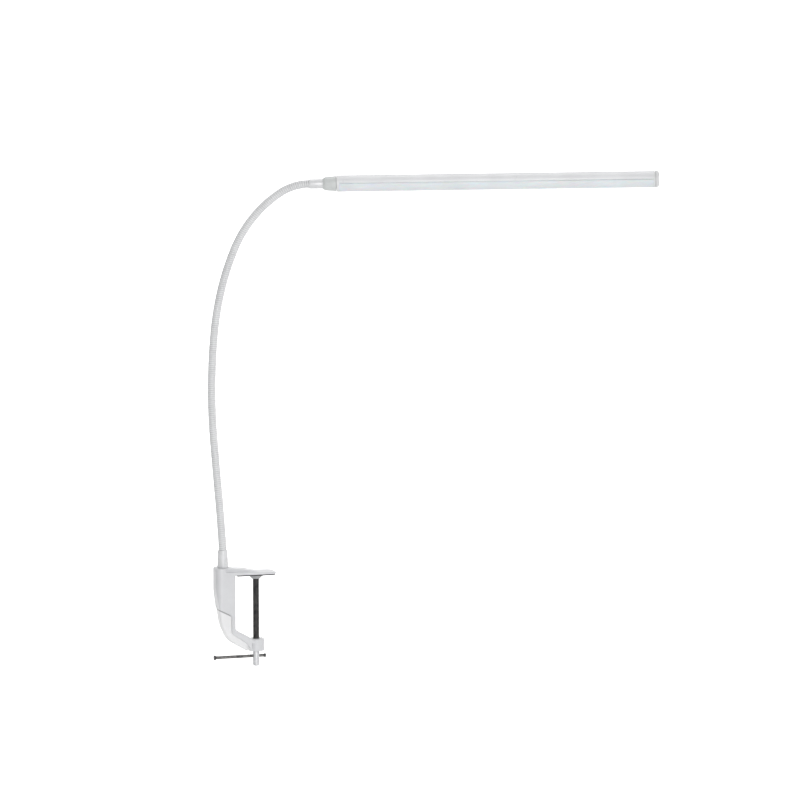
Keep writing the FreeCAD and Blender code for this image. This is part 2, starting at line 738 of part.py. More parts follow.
def make_clamp_screw():
    bar_axis = at(-10, 0, size("bar_height"), Rotation(Vector(0, 1, 0), 90))
    body = new_body("clamp_screw")
    turned(
        body,
        "shank",
        [
            ("0", "screw_end"),
            ("screw_end_radius", "screw_end"),
            ("screw_end_radius", "screw_shoulder"),
            ("screw_radius - 0.6", "screw_shoulder"),
            ("screw_radius", "screw_shoulder + 0.6"),
            ("screw_radius", "screw_tip - 0.6"),
            ("screw_radius - 0.6", "screw_tip"),
            ("rivet_radius", "screw_tip"),
            ("rivet_radius", "screw_tip - rivet_length"),
            ("0", "screw_tip - rivet_length"),
        ],
    )
    hole = {"Radius": "bar_radius + running_gap", "Height": "20"}
    primitive(body, "SubtractiveCylinder", "bar_hole", bar_axis, **hole)

    head = new_body("screw_head")
    turned(
        head,
        "sleeve",
        [
            ("0", "head_end"),
            ("head_radius - 1.2", "head_end"),
            ("head_radius", "head_end + 1.2"),
            ("head_radius", "screw_shoulder - 0.5"),
            ("head_radius - 0.5", "screw_shoulder"),
            ("screw_end_radius", "screw_shoulder"),
            ("screw_end_radius", "screw_end"),
            ("0", "screw_end"),
        ],
    )
    primitive(head, "SubtractiveCylinder", "bar_hole", bar_axis, **hole)

    rivet = new_body("pad_rivet")
    seat = "-pad_gap - pad_recess_depth + 0.05"
    turned(
        rivet,
        "rivet",
        [
            ("0", "screw_tip - rivet_length"),
            ("rivet_radius", "screw_tip - rivet_length"),
            ("rivet_radius", seat),
            ("rivet_head", seat),
            ("rivet_head - 0.5", "-pad_gap - 0.4"),
            ("0", "-pad_gap - 0.4"),
        ],
    )


def make_tommy_bar():
    along_x = Rotation(Vector(0, 1, 0), 90)
    body = new_body("tommy_bar", at(size("bar_left"), 0, size("bar_height"), along_x))
    span = "bar_right - bar_left"
    turned(
        body,
        "rod",
        [
            ("0", "bar_end_depth"),
            ("bar_end_radius", "bar_end_depth"),
            ("bar_end_radius", "bar_head_length"),
            ("bar_radius", "bar_head_length"),
            ("bar_radius", f"{span} - bar_head_length"),
            ("bar_end_radius", f"{span} - bar_head_length"),
            ("bar_end_radius", f"{span} - bar_end_depth"),
            ("0", f"{span} - bar_end_depth"),
        ],
    )
    heads = new_body("tommy_bar_heads", body.Placement)
    ends = (("left", "0", "1", "bar_head_radius"), ("right", span, "-1", "bar_small_head_radius"))
    for name, base, way, radius in ends:
        turned(
            heads,
            name + "_head",
            [
                ("0", base),
                (f"{radius} - 0.5", base),
                (radius, f"{base} + {way} * 0.6"),
                (f"{radius} - 0.2", f"{base} + {way} * 1.6"),
                ("bar_radius", f"{base} + {way} * bar_head_length"),
                ("bar_end_radius", f"{base} + {way} * bar_head_length"),
                ("bar_end_radius", f"{base} + {way} * bar_end_depth"),
                ("0", f"{base} + {way} * bar_end_depth"),
            ],
        )


# ---- neck -------------------------------------------------------------------------------------------------


def make_socket():
    """What holds the neck's foot on the column: ferrule, hollow stud, washer and nut."""
    neck_x = size("neck_x")
    body = new_body("base_ferrule", at(neck_x, 0, 0))
    turned(
        body,
        "cone",
        [
            ("stud_radius", "column_top"),
            ("ferrule_foot_radius - 0.4", "column_top"),
            ("ferrule_foot_radius", "column_top + 0.4"),
            ("ferrule_mouth_radius", "ferrule_top"),
            ("lead_radius + 0.4", "ferrule_top"),
            ("lead_radius + 0.4", "stud_high"),
            ("stud_radius", "stud_high"),
        ],
    )
    primitive(
        body,
        "SubtractiveSphere",
        "neck_seat_ball",
        at(z=size("ferrule_top + pivot_rise")),
        Radius="neck_radius + socket_gap",
    )
    ring("neck_stud", at(neck_x, 0, size("stud_low")), "stud_bore", "stud_radius", "stud_high - stud_low")
    under_washer = size("cavity_top - washer_thickness")
    ring("neck_washer", at(neck_x, 0, under_washer), "stud_radius + 0.1", "washer_radius", "washer_thickness")
    nut_place = at(neck_x, 0, under_washer - size("nut_thickness"))
    hex_nut("neck_nut", nut_place, "nut_flats", "nut_thickness", "stud_radius")

    top = "ferrule_top + pivot_rise - neck_radius - socket_gap - lead_slack"
    lead = new_body("base_lead", at(neck_x, 0, 0))
    turned(lead, "cable", [("0", "lead_low"), ("lead_radius", "lead_low"), ("lead_radius", top), ("0", top)])
    plug = new_body("lead_connector", at(neck_x, 0, 0))
    side = "connector_half_y"
    low = ("-connector_half_x", f"-{side}", "connector_low")
    box(plug, "shell", low, ("connector_half_x", side, "lead_low"))
    box(plug, "latch", ("-1", side, "connector_low + 2"), ("1", f"{side} + 0.8", "lead_low - 1"))


def lamp_plane():
    """The frame of the lamp plane at the first bend: its X runs forwards, its Z upwards."""
    centre = size("ferrule_top + pivot_rise")
    turn = Rotation(Vector(0, 0, 1), size("lamp_plane_turn"))
    return at(size("neck_x"), 0, centre, turn)


def neck_places():
    """A frame at the foot of each length of neck and one at its top end, each with Z along the neck."""
    place = lamp_plane() * at(turn=Rotation(Vector(0, 1, 0), -size("neck_lean")))
    places = [place]
    for number in range(1, len(NECK_LENGTHS) + 1):
        place = place * arc_end(size(f"neck_length_no{number}"), size(f"neck_turn_no{number}"))
        places.append(place)
    return places


def arc_end(length, turn):
    """From the start of an arc that leaves along Z to its end; a negative turn curves towards +X."""
    angle = math.radians(-turn)
    radius = length / angle
    shift = Vector(radius * (1 - math.cos(angle)), 0, radius * math.sin(angle))
    return Placement(shift, Rotation(Vector(0, 1, 0), -turn))


def arc_core(length, turn):
    """Where a torus stands so that its sweep starts at the origin along Z and curves towards +X or -X."""
    side = 1 if turn < 0 else -1
    radius = length / math.radians(abs(turn))
    start_inward = Rotation(Vector(-side, 0, 0), Vector(0, 0, 1), Vector(0, side, 0), "XYZ")
    return Placement(Vector(side * radius, 0, 0), start_inward)


def arc_tube(body, kind, name, number, radius, trim_start=0.0, trim_end=0.0):
    """A solid or a cut that follows one length of neck, shortened at its ends."""
    length, turn = size(f"neck_length_no{number}"), size(f"neck_turn_no{number}")
    spared = (trim_start + trim_end) / length
    start = arc_end(trim_start, turn * trim_start / length) if trim_start else Placement()
    return primitive(
        body,
        kind + "Torus",
        name,
        start * arc_core(length, turn),
        Radius1=f"neck_length_no{number} / abs(neck_turn_no{number}) * 180 / pi",
        Radius2=radius,
        Angle3=f"abs(neck_turn_no{number}) * {1 - spared}",
    )


def make_neck():
    """Each length ends in a ball below and a hollow seat above, so that the next one bends in it."""
    places = neck_places()
    last = len(NECK_LENGTHS)
    for number in range(1, last + 1):
        place, end = places[number - 1], places[number - 1].inverse() * places[number]
        body = new_body(f"neck_length_{number}", place)
        arc_tube(body, "Additive", "coil", number, "neck_radius")
        primitive(body, "AdditiveSphere", "ball", Radius="neck_radius")
        if number < last:
            gap = "neck_radius + socket_gap"
            primitive(body, "SubtractiveSphere", "seat", end, Radius=gap)
        else:
            primitive(body, "AdditiveCylinder", "stub", end, Radius="neck_radius", Height="neck_seat")
            primitive(body, "SubtractiveCylinder", "stub_bore", end, Radius="neck_bore", Height="neck_seat")
        arc_tube(body, "Subtractive", "bore", number, "neck_bore")
        below = at(z=-size("neck_radius"))
        primitive(body, "SubtractiveCylinder", "ball_bore", below, Radius="neck_bore", Height="neck_radius")

        lead = new_body(f"neck_lead_{number}", place)
        trim = size("neck_radius + socket_gap + lead_slack") if number < last else 0.0
        arc_tube(lead, "Additive", "cable", number, "lead_radius", trim_end=trim)
        below = "neck_radius - lead_slack"
        primitive(lead, "AdditiveCylinder", "foot", at(z=-size(below)), Radius="lead_radius", Height=below)
        if number == last:
            tail = "top_ferrule_length"
            primitive(lead, "AdditiveCylinder", "tail", end, Radius="lead_radius", Height=tail)


# ---- head -------------------------------------------------------------------------------------------------
# The head's own frame starts where the neck enters the top ferrule: Z along the head, X upwards.


def head_place():
    """At the neck's top end, Z along the neck and on along the head, X turned to face upwards."""
    return neck_places()[-1] * at(turn=Rotation(Vector(0, 0, 1), 180))


TUBE_START = "top_ferrule_length + collar_length + swivel_gap"
FACING_UP = Rotation(Vector(0, 1, 0), 90)  # carries +Z to +X, upwards in the head


def make_swivel():
    """What stays with the neck: top ferrule with its spigot, collar, friction washer and nut."""
    body = new_body("top_ferrule", head_place())
    turned(
        body,
        "sleeve",
        [
            ("neck_radius", "0"),
            ("top_ferrule_start", "0"),
            ("top_ferrule_shoulder", "chamfer_length"),
            ("top_ferrule_end", "top_ferrule_length"),
            ("spigot_radius", "top_ferrule_length"),
            ("spigot_radius", "spigot_end"),
            ("spigot_bore", "spigot_end"),
            ("spigot_bore", "neck_seat"),
            ("neck_radius", "neck_seat"),
        ],
    )
    collar = new_body("swivel_collar", head_place() * at(z=size("top_ferrule_length")))
    turned(
        collar,
        "cone",
        [
            ("spigot_radius", "0"),
            ("collar_start", "0"),
            ("collar_shoulder", "collar_rise"),
            ("collar_end", "collar_length - 0.3"),
            ("collar_end - 0.3", "collar_length"),
            ("spigot_radius", "collar_length"),
        ],
    )
    slot = outline(
        collar,
        "slot_outline",
        "XZ_Plane",
        [
            ("stop_circle - stop_slot_half", "collar_length - stop_slot_depth"),
            ("stop_circle + stop_slot_half", "collar_length - stop_slot_depth"),
            ("stop_circle + stop_slot_half", "collar_length + 1"),
            ("stop_circle - stop_slot_half", "collar_length + 1"),
        ],
    )
    groove = collar.newObject("PartDesign::Groove", "stop_slot")
    groove.Profile = slot
    groove.ReferenceAxis = (slot, ["V_Axis"])
    groove.Midplane = True
    bind(groove, Angle="stop_slot_angle")

    washer = f"{TUBE_START} + near_plug_length + washer_play"
    nut = f"{washer} + wave_washer_thickness"
    ring(
        "friction_washer",
        head_place() * at(z=size(washer)),
        "spigot_radius",
        "wave_washer_radius",
        "wave_washer_thickness",
    )
    place = head_place() * at(z=size(nut))
    hex_nut("spigot_nut", place, "spigot_nut_flats", "spigot_nut_thickness", "spigot_radius")


def tube_frame():
    """The head's frame moved to the near end of the housing."""
    return head_place() * at(z=size(TUBE_START))


def grub_place():
    """From the tube's outside inwards along the grub screw, in the tube's frame."""
    angle = size("grub_angle")
    spin = at(turn=Rotation(Vector(0, 0, 1), angle))
    return spin * at(size("tube_radius - 0.4"), 0, size("grub_start"), FACING_UP)


def port_places(z="0"):
    return [at(size("port_up"), side * size("port_side"), size(z)) for side in (-1, 1)]


def make_housing():
    body = new_body("head_housing", tube_frame())
    below = size("-2 * tube_radius")
    primitive(body, "AdditiveCylinder", "outside", Radius="tube_radius", Height="tube_length")
    inner = "tube_radius - housing_wall"
    primitive(body, "SubtractiveCylinder", "inside", at(z=-1), Radius=inner, Height="tube_length + 2")
    primitive(
        body,
        "SubtractiveBox",
        "lower_half",
        at(below, below, -1),
        Length="2 * tube_radius + parting",
        Width="4 * tube_radius",
        Height="tube_length + 2",
    )
    box(
        body,
        "spine",
        ("parting", "-spine_half", "spine_start"),
        ("parting + spine_thickness", "spine_half", "tube_length - far_relief"),
    )
    long = "tube_length - far_relief - port_start"
    for place in port_places("port_start"):
        primitive(body, "AdditiveCylinder", "port", place, Radius="port_radius", Height=long)
    for place in port_places("port_start"):
        primitive(body, "SubtractiveCylinder", "port_hole", place, Radius="port_bore", Height=long)
    hole = grub_place() * at(z=-size("grub_length"))
    primitive(body, "SubtractiveCylinder", "grub_hole", hole, Radius="grub_radius", Height="grub_length + 2")


def make_diffuser():
    body = new_body("diffuser", tube_frame())
    primitive(body, "AdditiveCylinder", "outside", Radius="tube_radius", Height="tube_length")
    inner = "tube_radius - diffuser_wall"
    primitive(body, "SubtractiveCylinder", "inside", at(z=-1), Radius=inner, Height="tube_length + 2")
    primitive(
        body,
        "SubtractiveBox",
        "upper_half",
        at(size("parting"), size("-2 * tube_radius"), -1),
        Length="2 * tube_radius",
        Width="4 * tube_radius",
        Height="tube_length + 2",
    )


def make_near_plug():
    body = new_body("near_plug", tube_frame())
    turned(
        body,
        "disc",
        [
            ("spigot_radius + running_gap", "0"),
            ("plug_radius", "0"),
            ("plug_radius", "near_plug_length"),
            ("spigot_radius + running_gap", "near_plug_length"),
        ],
    )
    pin_place = at(size("stop_circle"), 0, 0)
    seat = "stop_pin_seat"
    primitive(body, "SubtractiveCylinder", "pin_hole", pin_place, Radius="stop_pin_radius", Height=seat)
    screw = grub_place() * at(z=-size("grub_length"))
    primitive(body, "SubtractiveCylinder", "grub_hole", screw, Radius="grub_radius", Height="grub_length + 2")

    reach = "stop_pin_reach + swivel_gap"
    pin = new_body("stop_pin", tube_frame() * pin_place)
    foot = at(z=-size(reach))
    primitive(pin, "AdditiveCylinder", "pin", foot, Radius="stop_pin_radius", Height=f"{reach} + {seat}")

    grub = new_body("grub_screw", tube_frame() * screw)
    primitive(grub, "AdditiveCylinder", "thread", Radius="grub_radius", Height="grub_length")
    socket = [
        ("-grub_slot_reach", "-grub_slot_half"),
        ("grub_slot_reach", "-grub_slot_half"),
        ("grub_slot_reach", "grub_slot_half"),
        ("-grub_slot_reach", "grub_slot_half"),
    ]
    slot = grub.newObject("PartDesign::Pocket", "slot")
    slot.Profile = outline(grub, "slot_outline", "XY_Plane", socket, at(z=size("grub_length")))
    slot.Length = 1.0


def make_light():
    """LED board on its tape under the spine, and the LEDs under the board."""
    length = "tube_length - far_relief - spine_start - 2 * board_margin"
    start = size("spine_start + board_margin")
    tape = new_body("thermal_tape", tube_frame() * at(z=start))
    box(tape, "strip", ("parting - tape_thickness", "-board_half", "0"), ("parting", "board_half", length))
    under_tape = "parting - tape_thickness"
    board = new_body("led_board", tube_frame() * at(z=start))
    box(
        board,
        "strip",
        (f"{under_tape} - board_thickness", "-board_half", "0"),
        (under_tape, "board_half", length),
    )
    leds = new_body("leds", tube_frame() * at(z=start))
    under_board = f"{under_tape} - board_thickness"
    first = f"(({length}) - (led_count - 1) * led_pitch - led_length) / 2"
    led = box(
        leds,
        "led",
        (f"{under_board} - led_height", "-led_width / 2", first),
        (under_board, "led_width / 2", f"{first} + led_length"),
    )
    row = leds.newObject("PartDesign::LinearPattern", "row")
    row.Originals = [led]
    row.Direction = (origin_part(leds, "Z_Axis"), [""])
    bind(row, Length="(led_count - 1) * led_pitch", Occurrences="led_count")
    leds.Tip = row


def make_driver():
    """The constant-current driver, on an insulating sheet above the spine."""
    place = tube_frame() * at(size("parting + spine_thickness"), 0, size("driver_start"))
    sheet_part = new_body("driver_insulator", place)
    under_board = "insulator_thickness"
    box(sheet_part, "sheet", ("0", "-driver_half", "0"), (under_board, "driver_half", "driver_length"))
    board = new_body("driver_board", place)
    board_top = f"{under_board} + board_thickness"
    box(board, "board", (under_board, "-driver_half", "0"), (board_top, "driver_half", "driver_length"))
    parts = new_body("driver_parts", place)
    for name, start, length, half, height in DRIVER_PARTS:
        low = (board_top, f"{-half}", f"{start}")
        high = (f"{board_top} + {height}", f"{half}", f"{start + length}")
        box(parts, name, low, high)
    primitive(
        parts,
        "AdditiveCylinder",
        "capacitor",
        at(size(board_top), 0, size("capacitor_start"), FACING_UP),
        Radius="capacitor_radius",
        Height="capacitor_height",
    )


def make_head_lead():
    """From inside the spigot, up past the spine's end, and along to the driver's terminal."""
    rise = size("parting + spine_thickness + insulator_thickness + board_thickness + head_lead_radius + 0.1")
    run, bend_start = size("head_lead_run"), size("head_lead_bend")
    angle = 2 * math.atan(rise / run)
    radius = run / (2 * math.sin(angle))
    bend = {"Radius1": f"{radius}", "Radius2": "head_lead_radius", "Angle3": f"{math.degrees(angle)}"}
    body = new_body("head_lead", tube_frame())
    inlet = at(z=size("head_lead_start"))
    straight = "head_lead_bend - head_lead_start"
    primitive(body, "AdditiveCylinder", "inlet", inlet, Radius="head_lead_radius", Height=straight)
    upwards = Rotation(Vector(-1, 0, 0), Vector(0, 0, 1), Vector(0, 1, 0), "XYZ")
    primitive(body, "AdditiveTorus", "rise", at(radius, 0, bend_start, upwards), **bend)
    level = Rotation(Vector(1, 0, 0), Vector(0, 0, -1), Vector(0, 1, 0), "XYZ")
    primitive(body, "AdditiveTorus", "level_out", at(rise - radius, 0, bend_start + run, level), **bend)
    terminal = f"driver_start + {DRIVER_PARTS[0][1]} - head_lead_bend - head_lead_run"
    outlet = at(rise, 0, bend_start + run)
    primitive(body, "AdditiveCylinder", "outlet", outlet, Radius="head_lead_radius", Height=terminal)


def make_end_cap():
    body = new_body("end_cap", tube_frame() * at(z=size("tube_length")))
    turned(
        body,
        "cap",
        [
            ("0", "0"),
            ("plug_radius - cap_plug_wall", "0"),
            ("plug_radius - cap_plug_wall", "-cap_plug_length"),
            ("plug_radius", "-cap_plug_length"),
            ("plug_radius", "0"),
            ("cap_radius", "0"),
            ("cap_radius", "cap_length"),
            ("0", "cap_length"),
        ],
    )

    def outer_rim(p, edge):
        return edge.Curve.TypeId == CIRCLE and p.z > size("cap_length") - 0.1

    rounded(body, "outer_edge", size("cap_rounding"), outer_rim)
    places = port_places("cap_length")
    for place in places:
        countersink(body, "Subtractive", place, "cap_screw", "cap_screw_play")
    screws = new_body("cap_screws", body.Placement)
    for place in places:
        sunk = place * at(z=-size("cap_screw_depth"))
        countersink(screws, "Additive", sunk, "cap_screw")


# ---- build, check and write -------------------------------------------------------------------------------


def check():
    """Every object up to date, every sub-part a valid solid."""
    doc.recompute()
    problems = []
    for thing in doc.Objects:
        if {"Invalid", "Error"} & set(thing.State):
            problems.append(f"{thing.Label}: {thing.State}")
    for node in nodes:
        if node.Shape.isNull() or not node.Shape.isValid() or not node.Shape.Solids:
            problems.append(f"{node.Label}: no valid solid")
    if problems:
        raise SystemExit("\n".join(problems))


def write():
    os.makedirs("parts", exist_ok=True)
    for node in nodes:
        node.Shape.exportStep(f"parts/{node.Label}.step")
        box_of = node.Shape.BoundBox
        print(
            f"{node.Label:18s} solids {len(node.Shape.Solids):2d}  volume {node.Shape.Volume:10.1f}  "
            f"x {box_of.XMin:7.1f} {box_of.XMax:7.1f}  z {box_of.ZMin:7.1f} {box_of.ZMax:7.1f}"
        )


make_clamp_frame()
make_jaw_pad()
make_side_cover()
make_gland()
make_swivel_pad()
make_clamp_screw()
make_tommy_bar()
make_socket()
make_neck()
make_swivel()
make_housing()
make_diffuser()
make_near_plug()
make_light()
make_driver()
make_head_lead()
make_end_cap()
check()
write()
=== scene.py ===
"""The clip-on reading lamp as it looks: every visible piece in full detail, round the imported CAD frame."""

import json
import math

import bmesh
import bpy
from mathutils import Matrix, Vector


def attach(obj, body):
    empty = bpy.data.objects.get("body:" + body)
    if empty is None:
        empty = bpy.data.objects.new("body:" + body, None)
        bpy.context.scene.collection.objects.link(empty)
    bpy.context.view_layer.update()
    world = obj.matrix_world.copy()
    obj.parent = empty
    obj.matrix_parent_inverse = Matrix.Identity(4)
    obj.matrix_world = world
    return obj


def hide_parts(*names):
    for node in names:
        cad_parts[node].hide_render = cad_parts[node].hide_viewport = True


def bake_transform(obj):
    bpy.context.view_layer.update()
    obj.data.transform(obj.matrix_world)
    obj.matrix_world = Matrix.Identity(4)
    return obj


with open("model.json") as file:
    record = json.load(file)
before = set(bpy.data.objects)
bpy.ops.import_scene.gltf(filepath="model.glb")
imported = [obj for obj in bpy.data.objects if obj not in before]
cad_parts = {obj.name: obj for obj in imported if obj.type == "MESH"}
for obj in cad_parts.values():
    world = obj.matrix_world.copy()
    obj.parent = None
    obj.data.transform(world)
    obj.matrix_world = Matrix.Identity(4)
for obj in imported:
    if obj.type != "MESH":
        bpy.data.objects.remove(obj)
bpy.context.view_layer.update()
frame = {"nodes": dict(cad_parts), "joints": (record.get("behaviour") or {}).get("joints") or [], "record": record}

scene = bpy.context.scene
MM = 0.001
UP = Vector((0, 0, 1))
NODES = frame["nodes"]
JOINTS = {joint["name"]: joint for joint in frame["joints"]}


# ---- materials --------------------------------------------------------------------------------------------


def new_material(name, **sockets):
    """A material of one Principled shader, with constants on its own sockets."""
    material = bpy.data.materials.new(name)
    material.use_nodes = True
    shader = material.node_tree.nodes["Principled BSDF"]
    for socket, value in sockets.items():
        shader.inputs[socket.replace("_", " ")].default_value = value
    return material


def add(material, kind, settings=None, **inputs):
    """A node of this kind; each input is a constant or another node's output."""
    tree = material.node_tree
    node = tree.nodes.new("ShaderNode" + kind)
    for key, value in (settings or {}).items():
        setattr(node, key, value)
    for key, value in inputs.items():
        if isinstance(value, bpy.types.NodeSocket):
            tree.links.new(value, node.inputs[key])
        else:
            node.inputs[key].default_value = value
    return node


def feed(material, socket, output):
    tree = material.node_tree
    tree.links.new(output, tree.nodes["Principled BSDF"].inputs[socket])


def grain(material, scale, stretch=(1, 1, 1), turn=(0, 0, 0), detail=3.0):
    """A noise over the piece's own coordinates, in features per metre."""
    place = add(material, "TexCoord").outputs["Object"]
    if stretch != (1, 1, 1):
        place = add(material, "Mapping", Vector=place, Rotation=turn).outputs["Vector"]
        place = add(material, "Mapping", Vector=place, Scale=stretch).outputs["Vector"]
    return add(material, "TexNoise", Vector=place, Scale=scale, Detail=detail).outputs["Fac"]


def ramp(material, source, *stops):
    """The source remapped through (position, grey or colour) stops."""
    node = add(material, "ValToRGB", Fac=source)
    elements = node.color_ramp.elements
    while len(elements) < len(stops):
        elements.new(0.5)
    for element, (position, colour) in zip(elements, stops):
        element.position = position
        element.color = (*colour, 1) if isinstance(colour, tuple) else (colour, colour, colour, 1)
    return node.outputs["Color"]


def bump(material, *layers):
    """Surface relief from (height, depth in metres) layers, one over the other."""
    normal = None
    for height, depth in layers:
        node = add(material, "Bump", Height=height, Distance=depth)
        if normal:
            material.node_tree.links.new(normal, node.inputs["Normal"])
        normal = node.outputs["Normal"]
    feed(material, "Normal", normal)


def mixed(material, factor, first, second, mode="MIX"):
    """The first colour turned towards the second by the factor."""
    node = add(material, "MixRGB", {"blend_type": mode})
    for socket, value in zip(node.inputs, (factor, first, second)):
        if isinstance(value, bpy.types.NodeSocket):
            material.node_tree.links.new(value, socket)
        else:
            socket.default_value = (*value, 1) if isinstance(value, tuple) else value
    return node.outputs["Color"]


def worn_edges(material, colour, edge_colour, strength=0.5):
    """The colour with paler or darker wear where the surface turns sharply outwards."""
    sharp = ramp(material, add(material, "NewGeometry").outputs["Pointiness"], (0.53, 0.0), (0.60, strength))
    patches = ramp(material, grain(material, 220.0), (0.4, 0.0), (0.6, 1.0))
    return mixed(material, mixed(material, 1.0, sharp, patches, "MULTIPLY"), colour, edge_colour)


def coated(
    name, low, high, roughness, peel, peel_depth, coat=0.25, edge=None, groove=None, pale=None, streaks=None,
):
    """Paint or moulded plastic: faint mottling, fine surface texture and uneven sheen.

    peel is that texture's fineness, edge a colour for worn edges, groove one of painted shade for grooves, seams
    and the web under a step, and pale one of painted light for recessed faces, both where the piece's attribute
    says so, and streaks the marks drawn along a profile.
    """
    material = new_material(name, Coat_Weight=coat, Coat_Roughness=0.22, Specular_IOR_Level=0.42)
    colour = ramp(material, grain(material, MOTTLING), (0.36, low), (0.64, high))
    if edge:
        colour = worn_edges(material, colour, edge)
    if pale:
        # painted light: paler where the attribute marks a recessed face
        recess = add(material, "Attribute", {"attribute_name": "recess"}).outputs["Fac"]
        colour = mixed(material, recess, colour, pale)
    if groove:
        # painted shade: darker where the attribute marks grooves, seams or the band under a step
        depth = add(material, "Attribute", {"attribute_name": "groove"}).outputs["Fac"]
        colour = mixed(material, ramp(material, depth, (0.25, 0.0), (1.0, 0.85)), colour, groove)
    feed(material, "Base Color", colour)
    uneven_sheen(material, 150.0, roughness, 0.05, 0.06)
    layers = [(grain(material, peel, detail=2.0), peel_depth)]
    if streaks:
        stretch, depth = streaks
        layers.append((grain(material, DRAWING_LINES, stretch, HEAD_TURN), depth))
    bump(material, *layers)
    return material


def uneven_sheen(material, scale, roughness, less, more):
    """Roughness that wanders a little round its value."""
    spread = ramp(material, grain(material, scale), (0.3, roughness - less), (0.7, roughness + more))
    feed(material, "Roughness", spread)


# colours, as (red, green, blue)
# SHADE is painted shade: in the hollows between the neck's ribs, in the seam between housing and diffuser, and on
# the web just under the column's step
SHADE = (0.30, 0.305, 0.31)
WORN = (0.78, 0.785, 0.79)
# painted light: the casting's recessed web is painted paler, standing for brighter light on it
RECESS_PAINTED_LIGHT = (0.84, 0.84, 0.845)
# painted shade for the groove round the far end cap
CAP_GROOVE_SHADE = (0.56, 0.565, 0.57)
MOTTLING = 38.0
DRAWING_LINES = 1800.0  # across the head, where the profile was drawn through its die

# turns the object's axes so that the head's own axis becomes X, for texture drawn out along it
HEAD_TURN = (0, 0, math.atan2(-JOINTS["head_turn"]["axis"][1], JOINTS["head_turn"]["axis"][0]))
ALONG_HEAD = (0.012, 1, 1)

WHITE = {
    "CASTING": coated("cast_white_paint", (0.64, 0.645, 0.66), (0.69, 0.695, 0.71), 0.40, 850.0, 0.00003,
                      edge=WORN, groove=SHADE, pale=RECESS_PAINTED_LIGHT),
    "FERRULE": coated("ferrule_white_paint", (0.68, 0.685, 0.695), (0.73, 0.735, 0.745), 0.27, 1400.0,
                      0.00001, coat=0.6),
    "NECK": coated("neck_white_paint", (0.70, 0.705, 0.715), (0.75, 0.755, 0.765), 0.28, 1600.0, 0.00001,
                   coat=0.5, groove=SHADE),
    "HOUSING": coated("housing_white_paint", (0.73, 0.735, 0.75), (0.78, 0.785, 0.80), 0.32, 1500.0, 0.000008,
                      groove=SHADE, streaks=(ALONG_HEAD, 0.00002)),
    "COLLAR": coated("collar_pale_plastic", (0.58, 0.60, 0.595), (0.63, 0.65, 0.645), 0.44, 2200.0, 0.000015),
    "CAP": coated("cap_pale_plastic", (0.72, 0.725, 0.73), (0.77, 0.775, 0.78), 0.42, 2200.0, 0.000015,
                  groove=CAP_GROOVE_SHADE),
    "PAD": coated("pad_grey_plastic", (0.36, 0.365, 0.37), (0.42, 0.425, 0.43), 0.45, 1800.0, 0.000015),
    "FROSTED": coated("frosted_diffuser", (0.75, 0.755, 0.775), (0.79, 0.795, 0.815), 0.48, 2600.0, 0.00001,
                      coat=0.0),
}
FROSTED = WHITE["FROSTED"]
for socket, value in (("Subsurface Weight", 0.35), ("Subsurface Scale", 0.004)):
    FROSTED.node_tree.nodes["Principled BSDF"].inputs[socket].default_value = value


SCRATCH_DEPTH = 0.000012


def metal(name, low, high, roughness, metallic, edge):
    """Plated or blackened steel: mottled, finely scratched, with its edges rubbed bright."""
    material = new_material(name, Metallic=metallic)
    colour = ramp(material, grain(material, 260.0), (0.35, low), (0.65, high))
    feed(material, "Base Color", worn_edges(material, colour, edge, 0.8))
    uneven_sheen(material, 420.0, roughness, 0.06, 0.10)
    bump(material, (grain(material, 2400.0, detail=4.0), SCRATCH_DEPTH))
    return material


BLACK_STEEL = metal(
    "black_oxide_steel", (0.045, 0.045, 0.047), (0.095, 0.092, 0.090), 0.36, 0.5, (0.34, 0.33, 0.32),
)
ZINC = metal("zinc_plate", (0.58, 0.59, 0.61), (0.70, 0.71, 0.73), 0.30, 0.85, (0.80, 0.80, 0.82))
PALE_ZINC = metal(
    "satin_nickel_plate", (0.66, 0.665, 0.68), (0.74, 0.745, 0.76), 0.42, 0.35, (0.84, 0.84, 0.85),
)


def plain(name, low, high, roughness, scale=900.0, depth=0.00002, **sockets):
    """A matt or glossy moulded part with mottling and a fine texture."""
    material = new_material(name, **sockets)
    feed(material, "Base Color", ramp(material, grain(material, scale / 4), (0.35, low), (0.65, high)))
    uneven_sheen(material, scale / 2, roughness, 0.07, 0.07)
    bump(material, (grain(material, scale), depth))
    return material


RUBBER = plain("dark_rubber", (0.030, 0.030, 0.032), (0.048, 0.048, 0.050), 0.75, 2200.0, 0.00004)
INSULATION = plain("white_insulation", (0.72, 0.72, 0.71), (0.80, 0.80, 0.79), 0.5, 900.0, 0.00001)
TAPE = plain("thermal_tape_grey", (0.30, 0.31, 0.33), (0.38, 0.39, 0.41), 0.7)
BOARD = plain("white_board", (0.78, 0.79, 0.76), (0.86, 0.87, 0.84), 0.35)
PHOSPHOR = plain("led_phosphor", (0.85, 0.62, 0.12), (0.92, 0.72, 0.20), 0.25, Coat_Weight=0.6)
FILM = plain("insulating_film", (0.55, 0.50, 0.36), (0.64, 0.59, 0.44), 0.4)
GREEN_BOARD = plain("green_board", (0.02, 0.14, 0.05), (0.03, 0.20, 0.08), 0.35)
BLACK_PARTS = plain("black_moulding", (0.02, 0.02, 0.02), (0.035, 0.035, 0.035), 0.5)

